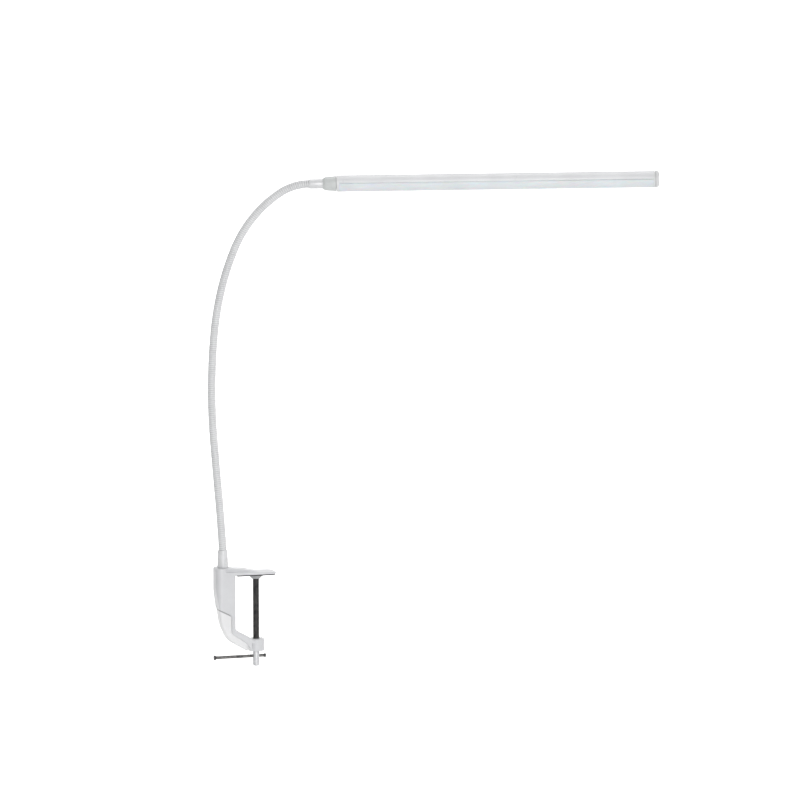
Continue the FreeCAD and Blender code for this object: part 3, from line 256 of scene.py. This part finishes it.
SLOT_MATERIALS = {
    "white_paint": WHITE["CASTING"], "neck_coil": WHITE["NECK"], "lead_white": INSULATION,
    "white_plastic": WHITE["CAP"], "dark_rubber": RUBBER, "black_oxide": BLACK_STEEL, "zinc": ZINC,
    "housing_white": WHITE["HOUSING"], "frosted": FROSTED, "tape_grey": TAPE, "board_white": BOARD,
    "led_phosphor": PHOSPHOR, "insulator_sheet": FILM, "green_board": GREEN_BOARD, "black_parts": BLACK_PARTS,
}
for row in frame["record"]["subparts"]:
    mesh = NODES[row["node"]].data
    mesh.materials.clear()
    mesh.materials.append(SLOT_MATERIALS[row["material_slot"]])


# ---- mesh helpers -----------------------------------------------------------------------------------------
CRISP = 40.0  # degrees; edges of turned and moulded pieces that turn by more stay crisp


def to_object(name, points, faces, material, body, replaced=(), sharp=CRISP):
    """A smooth-shaded piece from points in metres, riding on its body and standing for its CAD nodes.

    Edges that turn by more than sharp, in degrees, stay crisp.
    """
    mesh = bpy.data.meshes.new(name)
    mesh.from_pydata([tuple(p) for p in points], [], faces)
    mesh.validate()
    piece = bpy.data.objects.new(name, mesh)
    scene.collection.objects.link(piece)
    outwards(mesh)
    mesh.polygons.foreach_set("use_smooth", [True] * len(mesh.polygons))
    mesh.set_sharp_from_angle(angle=math.radians(sharp))
    mesh.materials.append(material)
    if body:
        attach(piece, body)
    if replaced:
        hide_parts(*replaced)
    return piece


def outwards(mesh):
    work = bmesh.new()
    work.from_mesh(mesh)
    bmesh.ops.recalc_face_normals(work, faces=work.faces)
    work.to_mesh(mesh)
    work.free()


ARC_STEPS = 4
STRAIGHT_ON = math.radians(178)


def softened(corners):
    """A closed outline of (a, b, rounding) corners in millimetres, with arcs in place of the rounded ones."""
    line = []
    count = len(corners)
    for i, (a, b, radius) in enumerate(corners):
        here = Vector((a, b))
        before = Vector(corners[i - 1][:2]) - here
        after = Vector(corners[(i + 1) % count][:2]) - here
        turn = before.angle(after)
        if not radius or turn > STRAIGHT_ON:
            line.append((a, b))
            continue
        reach = min(radius / math.tan(turn / 2), 0.48 * before.length, 0.48 * after.length)
        radius = reach * math.tan(turn / 2)
        middle = here + (before.normalized() + after.normalized()).normalized() * radius / math.sin(turn / 2)
        start, end = here + before.normalized() * reach - middle, here + after.normalized() * reach - middle
        for k in range(ARC_STEPS + 1):
            spoke = start.slerp(end, k / ARC_STEPS) if start.angle(end) > 0.001 else start
            line.append(tuple(middle + spoke.normalized() * radius))
    return line


def tinted(piece, attribute, amounts):
    """A number for each vertex, which the material reads by the attribute's name."""
    layer = piece.data.attributes.new(attribute, "FLOAT", "POINT")
    layer.data.foreach_set("value", amounts)


def round_point(place, radius, angle, height):
    """A point by its radius, angle and height about the place's Z, in millimetres and radians."""
    return place @ (Vector((radius * math.cos(angle), radius * math.sin(angle), height)) * MM)


def lathe(name, place, corners, material, body, replaced=(), segments=72, closed=True):
    """A turned piece about the place's Z from (radius, height, rounding) corners in millimetres."""
    line = softened(corners)
    points, rings = [], []
    for radius, height in line:
        ring = []
        for k in range(1 if radius < 0.001 else segments):
            angle = 2 * math.pi * k / segments
            ring.append(len(points))
            points.append(round_point(place, radius, angle, height))
        rings.append(ring)
    faces = []
    for first, second in zip(rings, rings[1:] + rings[:1] if closed else rings[1:]):
        if len(first) == 1 and len(second) == 1:
            continue
        for k in range(segments):
            n = (k + 1) % segments
            here, there = len(first), len(second)
            corner = [first[k % here], first[n % here], second[n % there], second[k % there]]
            faces.append(list(dict.fromkeys(corner)))
    return to_object(name, points, faces, material, body, replaced)


def sweep(place, outline, levels, offset=0):
    """Points and faces of a closed (x, y) outline carried along the place's Z through the levels, capped.

    The offset is the number of the first point, where the points follow others.
    """
    points = [place @ (Vector((x, y, z)) * MM) for z in levels for x, y in outline]
    count = len(outline)
    last = offset + (len(levels) - 1) * count
    faces = [
        (base + i, base + (i + 1) % count, base + count + (i + 1) % count, base + count + i)
        for base in range(offset, last, count)
        for i in range(count)
    ]
    faces.append([offset + i for i in range(count)])
    faces.append([last + i for i in reversed(range(count))])
    return points, faces


# ---- frames -----------------------------------------------------------------------------------------------
# lengths of neck between two bends: arc length in millimetres and turn in degrees, as in the CAD
NECK_LENGTHS = (
    (66, 1.5), (66, -0.5), (61.1, -5), (60, -4.5), (56, -8.5), (50, -9.5), (44, -17), (40, -16), (36, -33),
)
NECK_LEAN = 3.3
NECK_RADIUS = 4.75


def frame_at(origin, x_axis, y_axis, z_axis):
    turn = Matrix((x_axis, y_axis, z_axis)).transposed().to_4x4()
    return Matrix.Translation(origin) @ turn


far_side = Vector(JOINTS["neck_bend_1"]["axis"])
forwards = far_side.cross(UP)
lean = math.radians(NECK_LEAN)
neck_start = Vector(JOINTS["neck_bend_1"]["pos_m"])
rising = UP * math.cos(lean) - forwards * math.sin(lean)
NECK_FOOT = frame_at(neck_start, far_side.cross(rising), far_side, rising)

head_axis = Vector(JOINTS["head_turn"]["axis"])
HEAD = frame_at(Vector(JOINTS["head_turn"]["pos_m"]), (-far_side).cross(head_axis), -far_side, head_axis)
TUBE_LENGTH = 370.5


def arc_place(length, turn):
    """From the start of an arc along Z to its end, in millimetres and degrees; a negative turn is to +X."""
    angle = math.radians(-turn)
    radius = length / angle
    shift = Vector((radius * (1 - math.cos(angle)), 0, radius * math.sin(angle))) * MM
    return Matrix.Translation(shift) @ Matrix.Rotation(angle, 4, "Y")


neck_feet = [NECK_FOOT]
for length, turn in NECK_LENGTHS:
    neck_feet.append(neck_feet[-1] @ arc_place(length, turn))
neck_reach = [0.0]
for length, turn in NECK_LENGTHS:
    neck_reach.append(neck_reach[-1] + length)


def neck_place(distance):
    """The frame on the neck's centre line this many millimetres beyond its first bend."""
    if distance <= 0:
        return NECK_FOOT @ Matrix.Translation((0, 0, distance * MM))
    for number, (length, turn) in enumerate(NECK_LENGTHS):
        if distance <= neck_reach[number + 1]:
            part = distance - neck_reach[number]
            if part <= 0.001:
                return neck_feet[number]
            return neck_feet[number] @ arc_place(part, turn * part / length)
    return neck_feet[-1] @ Matrix.Translation((0, 0, (distance - neck_reach[-1]) * MM))


# ---- neck -------------------------------------------------------------------------------------------------
RIB_PITCH = 2.46
RIB_DEPTH = 0.55
RIB_FULLNESS = 2.6  # how square a rib's section is; 2 is an ellipse
COIL_CRISP = math.radians(75)  # only the cut ends stay crisp
RIB_STEPS = (0.0, 0.05, 0.13, 0.27, 0.5, 0.73, 0.87, 0.95)  # through one rib, closest at its grooves


def helical(name, pitch, steps, radius_at, around, low, high, place_at, material):
    """A ribbed rod whose ribs climb as one right-hand helix, cut square at both ends. Millimetres."""
    work = bmesh.new()
    # each point's depth between the ribs, kept as an attribute that the neck's paint reads as painted shade in the
    # hollows
    groove = work.verts.layers.float.new("groove")
    rows = []
    for turn in range(math.floor(low / pitch) - 2, math.ceil(high / pitch) + 2):
        for phase in steps:
            radius, depth = radius_at(phase)
            row = []
            for k in range(around):
                angle = 2 * math.pi * k / around
                height = (turn + phase + k / around) * pitch
                row.append(work.verts.new((radius * math.cos(angle), radius * math.sin(angle), height)))
                row[-1][groove] = depth
            rows.append(row)
    per_turn = len(steps)
    for r in range(len(rows) - 1 - per_turn):
        for k in range(around - 1):
            work.faces.new((rows[r][k], rows[r][k + 1], rows[r + 1][k + 1], rows[r + 1][k]))
        work.faces.new((rows[r][-1], rows[r + per_turn][0], rows[r + 1 + per_turn][0], rows[r + 1][-1]))
    for height, way in ((low, -1), (high, 1)):
        everything = work.verts[:] + work.edges[:] + work.faces[:]
        cut = bmesh.ops.bisect_plane(
            work, geom=everything, plane_co=(0, 0, height), plane_no=(0, 0, way), clear_outer=True,
        )
        bmesh.ops.edgeloop_fill(work, edges=[e for e in cut["geom_cut"] if isinstance(e, bmesh.types.BMEdge)])
    for vert in work.verts:
        x, y, z = vert.co
        vert.co = place_at(z) @ Vector((x * MM, y * MM, 0))
    bmesh.ops.recalc_face_normals(work, faces=work.faces)
    mesh = bpy.data.meshes.new(name)
    work.to_mesh(mesh)
    work.free()
    mesh.polygons.foreach_set("use_smooth", [True] * len(mesh.polygons))
    mesh.set_sharp_from_angle(angle=COIL_CRISP)
    mesh.materials.append(material)
    piece = bpy.data.objects.new(name, mesh)
    scene.collection.objects.link(piece)
    return piece


def rib(phase):
    """The neck's radius and how deep in the groove it is, through one rib."""
    fullness = (1 - abs(2 * phase - 1) ** RIB_FULLNESS) ** 0.5 if 0 < phase < 1 else 0.0
    return NECK_RADIUS - RIB_DEPTH * (1 - fullness), 1 - fullness


COIL_FOOT = -2.0  # inside the base ferrule's mouth
COIL_TOP = 3.0  # inside the top ferrule
middles = [(a + b) / 2 for a, b in zip(neck_reach, neck_reach[1:])]
cuts = [COIL_FOOT] + [RIB_PITCH * round(m / RIB_PITCH) for m in middles[:-1]] + [neck_reach[-1] + COIL_TOP]
for number in range(1, len(NECK_LENGTHS) + 1):
    low, high = cuts[number - 1], cuts[number]
    piece = helical(
        f"neck_coil_{number}", RIB_PITCH, RIB_STEPS, rib, 32, low, high, neck_place, WHITE["NECK"]
    )
    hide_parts(f"neck_length_{number}")
    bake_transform(piece)


# ---- clamp screw's thread ---------------------------------------------------------------------------------
THREAD_PITCH = 1.25
THREAD_STEPS = (0.0, 0.08, 0.44, 0.56, 0.92)
THREAD_CREST = 3.96
THREAD_ROOT = 3.3
THREAD_LOW, THREAD_HIGH = -91.6, -2.75
THREAD_CRISP = math.radians(25)


def flank(phase):
    """The thread's radius and how deep in its root it is."""
    root = 1.0 if phase < 0.1 or phase > 0.9 else 0.0
    return (THREAD_ROOT if root else THREAD_CREST), root


def up_the_screw(height):
    """The frame on the screw's axis at this height in millimetres."""
    return Matrix.Translation((0, 0, height * MM))


def screw_thread():
    piece = helical(
        "clamp_screw_thread", THREAD_PITCH, THREAD_STEPS, flank, 36, THREAD_LOW, THREAD_HIGH,
        up_the_screw, BLACK_STEEL,
    )
    piece.data.set_sharp_from_angle(angle=THREAD_CRISP)
    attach(piece, "screw")
    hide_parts("clamp_screw")


# ---- clamp ------------------------------------------------------------------------------------------------
SCREW_AXIS = Matrix.Identity(4)  # the object's own Z
SOCKET = Matrix.Translation((neck_start[0], 0, 0))
ALONG_X = Matrix.Rotation(math.pi / 2, 4, "Y")
CAST_VOXEL = 0.45  # the casting's mesh size, and how often it is smoothed
CAST_PASSES = 7
WELD_REACH = 0.002  # between corners that the CAD mesh repeats
EDGE_ANGLE = math.radians(35)  # edges sharper than this are broken


def copy_of(name, node):
    """A piece of its own with the CAD node's mesh, for modifiers to finish."""
    mesh = NODES[node].data.copy()
    mesh.name = name
    piece = bpy.data.objects.new(name, mesh)
    scene.collection.objects.link(piece)
    return piece


def dressed(piece, material, body, node):
    """The finished copy, smooth-shaded in its material, riding on its body and standing for its node."""
    piece.data.polygons.foreach_set("use_smooth", [True] * len(piece.data.polygons))
    piece.data.materials.clear()
    piece.data.materials.append(material)
    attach(piece, body)
    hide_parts(node)
    return piece


def cast_copy(name, node, material, body):
    """A casting's soft-edged copy of its CAD solid."""
    piece = copy_of(name, node)
    remesh = piece.modifiers.new("remesh", "REMESH")
    remesh.mode = "VOXEL"
    remesh.voxel_size = CAST_VOXEL * MM
    smooth = piece.modifiers.new("smooth", "SMOOTH")
    smooth.factor = 0.5
    smooth.iterations = CAST_PASSES
    applied(piece)
    return dressed(piece, material, body, node)


def applied(piece):
    """Makes the piece's modifiers part of its mesh."""
    bpy.context.view_layer.update()
    finished = bpy.data.meshes.new_from_object(piece.evaluated_get(bpy.context.evaluated_depsgraph_get()))
    old = piece.data
    piece.modifiers.clear()
    piece.data = finished
    bpy.data.meshes.remove(old)


def edged_copy(name, node, material, body, width):
    """A copy of a CAD solid with its sharp edges broken."""
    piece = copy_of(name, node)
    weld = piece.modifiers.new("weld", "WELD")
    weld.merge_threshold = WELD_REACH * MM
    bevel = piece.modifiers.new("bevel", "BEVEL")
    bevel.width, bevel.segments = width * MM, 2
    bevel.limit_method, bevel.angle_limit = "ANGLE", EDGE_ANGLE
    applied(piece)
    dressed(piece, material, body, node)
    piece.data.set_sharp_from_angle(angle=EDGE_ANGLE)


def cut_away(piece, *cutters):
    """Takes each closed solid, given as its points and faces, out of the piece."""
    helpers = []
    for points, faces in cutters:
        mesh = bpy.data.meshes.new("cutter")
        mesh.from_pydata([tuple(p) for p in points], [], faces)
        outwards(mesh)
        helper = bpy.data.objects.new("cutter", mesh)
        scene.collection.objects.link(helper)
        helpers.append(helper)
        cut = piece.modifiers.new("cut", "BOOLEAN")
        cut.operation, cut.solver, cut.object = "DIFFERENCE", "EXACT", helper
    applied(piece)
    for helper in helpers:
        bpy.data.objects.remove(helper)


def rod(place, radius, low, high):
    """The points and faces of a round rod along the place's Z."""
    angles = [2 * math.pi * k / SCREW_SIDES for k in range(SCREW_SIDES)]
    return sweep(place, [(radius * math.cos(a), radius * math.sin(a)) for a in angles], [low, high])


def cross_recess(place, reach, width, depth):
    """The two arms of a cross recess in a screw's head, whose face is at the place's origin."""
    arms = []
    for a, b in ((reach, width), (width, reach)):
        points = [
            place @ (Vector((x * a * taper, y * b * taper, z)) * MM)
            for z, taper in ((0.3, 1.1), (-depth, 0.6))
            for x, y in ((-1, -1), (1, -1), (1, 1), (-1, 1))
        ]
        faces = [(0, 1, 2, 3), (7, 6, 5, 4), (0, 4, 5, 1), (1, 5, 6, 2), (2, 6, 7, 3), (3, 7, 4, 0)]
        arms.append((points, faces))
    return arms


casting = cast_copy("clamp_casting", "clamp_frame", WHITE["CASTING"], "clamp")
WEB_HALF = 9.9
WEB_END = -7.0
STEP_BACK, STEP_FRONT = (-50.3, -37.15), (-32.3, -46.2)  # the column's lower edge above the web, as (x, z)
STEP_SLOPE = (STEP_FRONT[1] - STEP_BACK[1]) / (STEP_FRONT[0] - STEP_BACK[0])
SHADE_FULL, SHADE_END = 1.2, 2.2  # how far below that edge the painted shade on the web stays full, and where it ends
# the web below the column's step gets painted light (a paler paint), and a narrow band just under the step gets
# painted shade
recess, shade = [], []
for vert in casting.data.vertices:
    x, y, z = vert.co / MM
    below = STEP_BACK[1] + STEP_SLOPE * (x - STEP_BACK[0]) - z
    on_web = abs(y) < WEB_HALF and x < WEB_END and below > 0
    recess.append(1.0 if on_web and z < STEP_BACK[1] else 0.0)
    fading = max(0.0, below - SHADE_FULL) / (SHADE_END - SHADE_FULL)
    shade.append(max(0.0, 1 - fading) if on_web and x < STEP_FRONT[0] + 0.5 else 0.0)
tinted(casting, "recess", recess)
tinted(casting, "groove", shade)
edged_copy("jaw_pad_sheet", "jaw_pad", RUBBER, "clamp", 0.25)
edged_copy("side_cover_plate", "side_cover", WHITE["CASTING"], "clamp", 0.3)
COLUMN_HALF = 13.0
FACING_FAR = Matrix.Rotation(-math.pi / 2, 4, "X")
NECK_X = -40.0
COVER_SCREW_HEIGHTS = (-1.9, -23.2)
GLAND_HEIGHT = -14.0
GLAND_FOOT = 3.2  # its inner end, below the column's far face
SCREW_SIDES = 32


def countersunk(name, places, corners, recess, material, body, replaced):
    """Countersunk screws with cross recesses, as one piece."""
    points, faces = [], []
    line = softened(corners)
    for place in places:
        foot = len(points)
        for radius, height in line:
            for k in range(SCREW_SIDES):
                points.append(round_point(place, radius, 2 * math.pi * k / SCREW_SIDES, height))
        top = len(points) - SCREW_SIDES
        for ring in range(foot, top, SCREW_SIDES):
            for k in range(SCREW_SIDES):
                n = (k + 1) % SCREW_SIDES
                above = ring + SCREW_SIDES
                faces.append((ring + k, ring + n, above + n, above + k))
        faces.append([foot + k for k in range(SCREW_SIDES)])
        faces.append([top + k for k in reversed(range(SCREW_SIDES))])
    piece = to_object(name, points, faces, material, None)
    cut_away(piece, *[arm for place in places for arm in cross_recess(place, *recess)])
    piece.data.set_sharp_from_angle(angle=math.radians(CRISP))
    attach(piece, body)
    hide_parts(replaced)


countersunk(
    "cover_fixing_screws",
    [Matrix.Translation(Vector((NECK_X, COLUMN_HALF, z)) * MM) @ FACING_FAR for z in COVER_SCREW_HEIGHTS],
    [(1.0, -6.0, 0), (1.25, -5.6, 0), (1.25, -0.95, 0), (2.2, -0.1, 0.1), (2.05, 0.0, 0)],
    (1.25, 0.33, 0.9), ZINC, "clamp", "cover_screws",
)
lathe(
    "cord_gland_moulding",
    Matrix.Translation(Vector((NECK_X, COLUMN_HALF - GLAND_FOOT, GLAND_HEIGHT)) * MM) @ FACING_FAR,
    [(2.5, 0, 0.2), (5.0, 0, 0.2), (5.0, 1.2, 0.1), (4.0, 1.2, 0), (4.0, 3.2, 0), (5.4, 3.2, 0.2),
     (5.1, 4.3, 0.6), (3.9, 4.7, 0.3), (3.6, 5.6, 0.3), (2.5, 5.6, 0.4)],
    RUBBER, "clamp", ["cord_gland"], segments=48,
)

lathe(
    "neck_foot_ferrule",
    SOCKET,
    [(3.5, 10, 0), (6.1, 10, 0), (6.6, 10.5, 0.4), (6.05, 22, 0), (5.7, 30.5, 0.5), (5.0, 30.5, 0.1),
     (4.95, 28.6, 0), (2.2, 26.0, 0), (2.2, 21.5, 0), (3.5, 21.5, 0)],
    WHITE["FERRULE"], "clamp", ["base_ferrule"],
)
lathe(
    "swivel_pad_moulding",
    SCREW_AXIS,
    [(1.6, -2.7, 0), (4.06, -2.7, 0), (4.06, -4.7, 0), (5.3, -4.7, 0.15), (5.7, -3.8, 0.3),
     (8.45, -1.45, 0.25), (8.6, -0.3, 0.3), (3.3, -0.3, 0.1), (3.3, -1.5, 0), (1.6, -1.5, 0)],
    WHITE["PAD"], "foot", ["swivel_pad"],
)
sleeve = lathe(
    "screw_head_sleeve",
    SCREW_AXIS,
    [(0, -109.4, 0), (2.7, -109.4, 0), (3.95, -108.2, 0.8), (3.95, -92.1, 0.2), (3.45, -91.6, 0.2),
     (2.7, -91.6, 0), (2.7, -107, 0), (0, -107, 0)],
    PALE_ZINC, None, ["screw_head"], closed=False,
)
BAR_HEIGHT = -97.6
cut_away(sleeve, rod(Matrix.Translation((0, 0, BAR_HEIGHT * MM)) @ ALONG_X, 1.9, -6, 6))
sleeve.data.set_sharp_from_angle(angle=math.radians(CRISP))
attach(sleeve, "screw")
bar_frame = Matrix.Translation(Vector((-51.5, 0, BAR_HEIGHT)) * MM) @ ALONG_X
lathe(
    "tommy_bar_rod",
    bar_frame,
    [(0, 0.4, 0), (1.2, 0.4, 0), (1.2, 3.0, 0), (1.8, 3.0, 0), (1.8, 60.2, 0), (1.2, 60.2, 0), (1.2, 62.8, 0),
     (0, 62.8, 0)],
    BLACK_STEEL, "bar", ["tommy_bar"], segments=40, closed=False,
)
heads = [
    [(0, 0, 0), (2.4, 0, 0), (2.9, 0.6, 0.4), (2.7, 1.6, 0.5), (1.8, 3.2, 0.6), (1.2, 3.2, 0),
     (1.2, 0.4, 0), (0, 0.4, 0)],
    [(0, 63.2, 0), (1.9, 63.2, 0), (2.4, 62.6, 0.4), (2.2, 61.6, 0.5), (1.8, 60.0, 0.6), (1.2, 60.0, 0),
     (1.2, 62.8, 0), (0, 62.8, 0)],
]
for side, corners in zip(("left", "right"), heads):
    lathe(
        f"tommy_bar_{side}_head", bar_frame, corners,
        BLACK_STEEL, "bar", ["tommy_bar_heads"], segments=40, closed=False,
    )
screw_thread()

# ---- swivel and head --------------------------------------------------------------------------------------
# the ferrule ends where the collar starts, and the collar ends just before the head
COLLAR_LENGTH = 15.7
FERRULE_LENGTH = 16.3
HEAD_GAP = 0.4
COLLAR_PLACE = HEAD @ Matrix.Translation((0, 0, -(COLLAR_LENGTH + HEAD_GAP) * MM))
FERRULE_PLACE = HEAD @ Matrix.Translation((0, 0, -(FERRULE_LENGTH + COLLAR_LENGTH + HEAD_GAP) * MM))

lathe(
    "head_ferrule",
    FERRULE_PLACE,
    [(4.95, 0, 0), (5.25, 0, 0.1), (5.65, 1.6, 0.5), (5.75, 16.3, 0.1), (4.0, 16.3, 0), (4.0, 44.4, 0),
     (2.2, 44.4, 0), (2.2, 8, 0), (4.95, 8, 0)],
    WHITE["FERRULE"], "neck_9", ["top_ferrule"],
)
lathe(
    "swivel_collar_moulding",
    COLLAR_PLACE,
    [(4.02, 0, 0), (6.15, 0, 0.25), (7.9, 2.6, 1.4), (8.9, 15.7, 0.15), (7.2, 15.7, 0),
     (7.2, 13.7, 0), (5.2, 13.7, 0), (5.2, 15.7, 0), (4.02, 15.7, 0)],
    WHITE["COLLAR"], "neck_9", ["swivel_collar"],
)
RING_END = 3.4
lathe(
    "near_end_ring",
    HEAD,
    [(4.06, 0, 0), (9.5, 0, 0.15), (9.65, 0.4, 0.2), (9.65, 3.0, 0.2), (9.35, RING_END, 0.1),
     (7.95, RING_END, 0), (7.95, 7, 0), (4.06, 7, 0)],
    WHITE["CAP"], "head", ["near_plug"],
)
CAP_START = -2.2  # from the housing's CAD end
GROOVE_END = 1.2  # of the groove round the cap, from its foot
CAP_PLACE = HEAD @ Matrix.Translation((0, 0, TUBE_LENGTH * MM))
CAP_SCREWS = [CAP_PLACE @ Matrix.Translation(Vector((4.4, side * 5.2, 5.2)) * MM) for side in (-1, 1)]
cap = lathe(
    "far_end_cap",
    CAP_PLACE,
    [(0, 0, 0), (6.55, 0, 0), (6.55, -5.5, 0), (7.95, -5.5, 0), (7.95, CAP_START, 0), (9.62, CAP_START, 0),
     (9.72, -1.9, 0.1), (9.72, -0.25, 0.15), (9.1, -0.1, 0.1), (9.1, GROOVE_END, 0.1),
     (10.1, GROOVE_END + 0.15, 0.2), (10.0, 3.4, 1.2), (8.3, 5.25, 1.0), (0, 5.3, 0)],
    WHITE["CAP"], None, ["end_cap"], closed=False,
)
cut_away(cap, *[rod(place, r, low, 1) for place in CAP_SCREWS for r, low in ((1.2, -12), (2.05, -1.0))])
home = CAP_PLACE.inverted()
# painted shade, full in the groove round the cap; the cap's end beyond the groove is turned partly towards the
# same darker grey
depths = []
for vert in cap.data.vertices:
    x, y, z = home @ vert.co / MM
    in_groove = -0.2 < z < GROOVE_END + 0.1 and math.hypot(x, y) < 9.5
    depths.append(1.0 if in_groove else 0.55 if z > GROOVE_END else 0.0)
tinted(cap, "groove", depths)
cap.data.set_sharp_from_angle(angle=math.radians(CRISP))
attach(cap, "head")
countersunk(
    "cap_fixing_screws", CAP_SCREWS,
    [(0.8, -16.0, 0), (1.0, -15.6, 0), (1.0, -0.95, 0), (1.9, -0.05, 0.1), (1.8, 0.0, 0)],
    (1.1, 0.3, 0.8), ZINC, "head", "cap_screws",
)


def arc_points(radius, start, end, notches=()):
    """Points (x, y) every three degrees round the head's axis, x upwards, from one angle to another.

    Each notch is an angle, half its width in degrees, and its depth in millimetres.
    """
    points = []
    count = max(2, round(abs(end - start) / 3))
    angles = [start + (end - start) * k / count for k in range(count + 1)]
    for notch, width, depth in notches:
        angles = [a for a in angles if abs(a - notch) > width]
        points += [(notch + s * width, radius - d) for s, d in ((-1, 0), (-0.6, depth), (0.6, depth), (1, 0))]
    points += [(a, radius) for a in angles]
    points.sort(key=lambda p: p[0], reverse=end < start)
    return [(r * math.sin(math.radians(a)), r * math.cos(math.radians(a))) for a, r in points]


TUBE_RADIUS = 9.6
PROFILE_CRISP = 24  # degrees, along the extruded profiles
LEVELS = [RING_END + (TUBE_LENGTH + CAP_START - RING_END) * k / 12 for k in range(13)]
# fine lines along the housing: angle, half width, depth
notches = ((30, 1.2, 0.22), (52, 1.0, 0.18), (128, 1.0, 0.18), (150, 1.2, 0.22))
# the housing's lower edge: a bead above the seam and a shallow line above the bead
ledge = [
    (0.32, 8.95), (0.32, 9.35), (0.45, 9.62), (0.75, 9.78), (1.2, 9.80), (1.55, 9.66), (2.6, 9.50),
    (2.75, 9.22),
]
housing_outline = (
    ledge
    + arc_points(TUBE_RADIUS, 18, 162, notches)
    + [(x, -y) for x, y in reversed(ledge)]
    + arc_points(8.0, 177, 3)
)
points, faces = sweep(HEAD, housing_outline, LEVELS)
spine = [(0.4, -8.1), (2.2, -8.1), (2.2, 8.1), (0.4, 8.1)]
more, more_faces = sweep(HEAD, spine, [24.0, 120.0, 240.0, 364.5], len(points))
housing = to_object(
    "led_housing", points + more, faces + more_faces, WHITE["HOUSING"], "head",
    ["head_housing"], sharp=PROFILE_CRISP,
)
home = HEAD.inverted()
# shares of the tube's length: the painted shade in the seam is deepest up to the first, and deepens again between
# the other two
NEAR_SEAM_SHADE = 0.06
FAR_SEAM_SHADE = (0.6, 0.85)
depths = []
for point in points + more:
    x, y, z = home @ point / MM
    along = z / TUBE_LENGTH
    near = max(1 - along / NEAR_SEAM_SHADE, 0.0)
    far = min(max((along - FAR_SEAM_SHADE[0]) / (FAR_SEAM_SHADE[1] - FAR_SEAM_SHADE[0]), 0.0), 1.0)
    # painted shade in the seam between housing and diffuser
    in_seam = x < 0.5 and abs(y) > 8.8
    depths.append(min(0.35 + 0.65 * near + 0.5 * far, 1.0) if in_seam else 0.0)
tinted(housing, "groove", depths)

lip = [(0.28, 8.45), (0.28, 8.9), (-0.05, 8.93), (-0.05, 9.3), (-0.3, 9.58)]
diffuser_outline = (
    lip
    + arc_points(TUBE_RADIUS, -4.5, -175.5)
    + [(x, -y) for x, y in reversed(lip)]
    + arc_points(8.4, -177, -3)
)
points, faces = sweep(HEAD, diffuser_outline, LEVELS)
to_object(
    "frosted_diffuser", points, faces, FROSTED, "head", ["diffuser"], sharp=PROFILE_CRISP,
)

# ---- stage, light and camera ------------------------------------------------------------------------------
scene.view_settings.view_transform = "Standard"
FLOOR_Z = -0.75  # well below the clamp, which hangs from its table edge

world = bpy.data.worlds.new("studio")
scene.world = world
world.use_nodes = True
world.node_tree.nodes["Background"].inputs["Color"].default_value = (1, 1, 1, 1)
world.node_tree.nodes["Background"].inputs["Strength"].default_value = 0.46


def stage_sheet(name, profile, half_width, turn, **sockets):
    """A plain sheet of the studio: (distance, height) points in metres, swept sideways, turned about Z."""
    spin = Matrix.Rotation(math.radians(turn), 4, "Z")
    points = [spin @ Vector((side * half_width, y, z)) for y, z in profile for side in (-1, 1)]
    faces = [(2 * i, 2 * i + 1, 2 * i + 3, 2 * i + 2) for i in range(len(profile) - 1)]
    mesh = bpy.data.meshes.new(name)
    mesh.from_pydata([tuple(p) for p in points], [], faces)
    mesh.polygons.foreach_set("use_smooth", [True] * len(faces))
    mesh.materials.append(new_material(name, **sockets))
    sheet = bpy.data.objects.new(name, mesh)
    scene.collection.objects.link(sheet)


PALE = (0.9, 0.9, 0.9, 1)
stage_sheet("pale_floor", [(-20, FLOOR_Z), (20, FLOOR_Z)], 20, 0, Base_Color=PALE, Roughness=0.85)
BEND = 0.8  # radius of the backdrop's curve up from the floor
BACK = 2.2  # where the curve starts, behind the lamp
BACKDROP_FOOT = FLOOR_Z + 0.002
curve = [
    (BACK + BEND * math.sin(math.radians(a)), BACKDROP_FOOT + BEND * (1 - math.cos(math.radians(a))))
    for a in range(0, 91, 10)
]
stage_sheet(
    "white_backdrop", [(0.9, BACKDROP_FOOT)] + curve + [(BACK + BEND, 2.2)], 3.2, -17,
    Base_Color=PALE, Roughness=0.9, Emission_Color=(1, 1, 1, 1), Emission_Strength=0.72,
)


def softbox(name, place, target, width, height, power):
    light = bpy.data.lights.new(name, "AREA")
    light.shape = "RECTANGLE"
    light.size, light.size_y, light.energy = width, height, power
    lamp = bpy.data.objects.new(name, light)
    lamp.location = place
    lamp.rotation_euler = (Vector(target) - Vector(place)).to_track_quat("-Z", "Y").to_euler()
    scene.collection.objects.link(lamp)


CENTRE = (0.15, 0, 0.2)
softbox("key", (-0.35, -2.6, 0.55), CENTRE, 0.5, 2.2, 31)
softbox("side", (2.6, -0.9, 0.9), CENTRE, 0.35, 1.2, 13)
softbox("overhead", (0.3, 0.5, 2.3), CENTRE, 1.4, 0.9, 12)

camera_data = bpy.data.cameras.new("camera")
camera_data.sensor_width = 36.0
camera_data.lens = 115.38
camera_data.clip_end = 100
camera = bpy.data.objects.new("camera", camera_data)
camera.location = (-0.717, -2.930, 0.4645)
PITCH = math.radians(4.88)
sight = far_side * math.cos(PITCH) - UP * math.sin(PITCH)
camera.rotation_euler = sight.to_track_quat("-Z", "Y").to_euler()
scene.collection.objects.link(camera)
scene.camera = camera
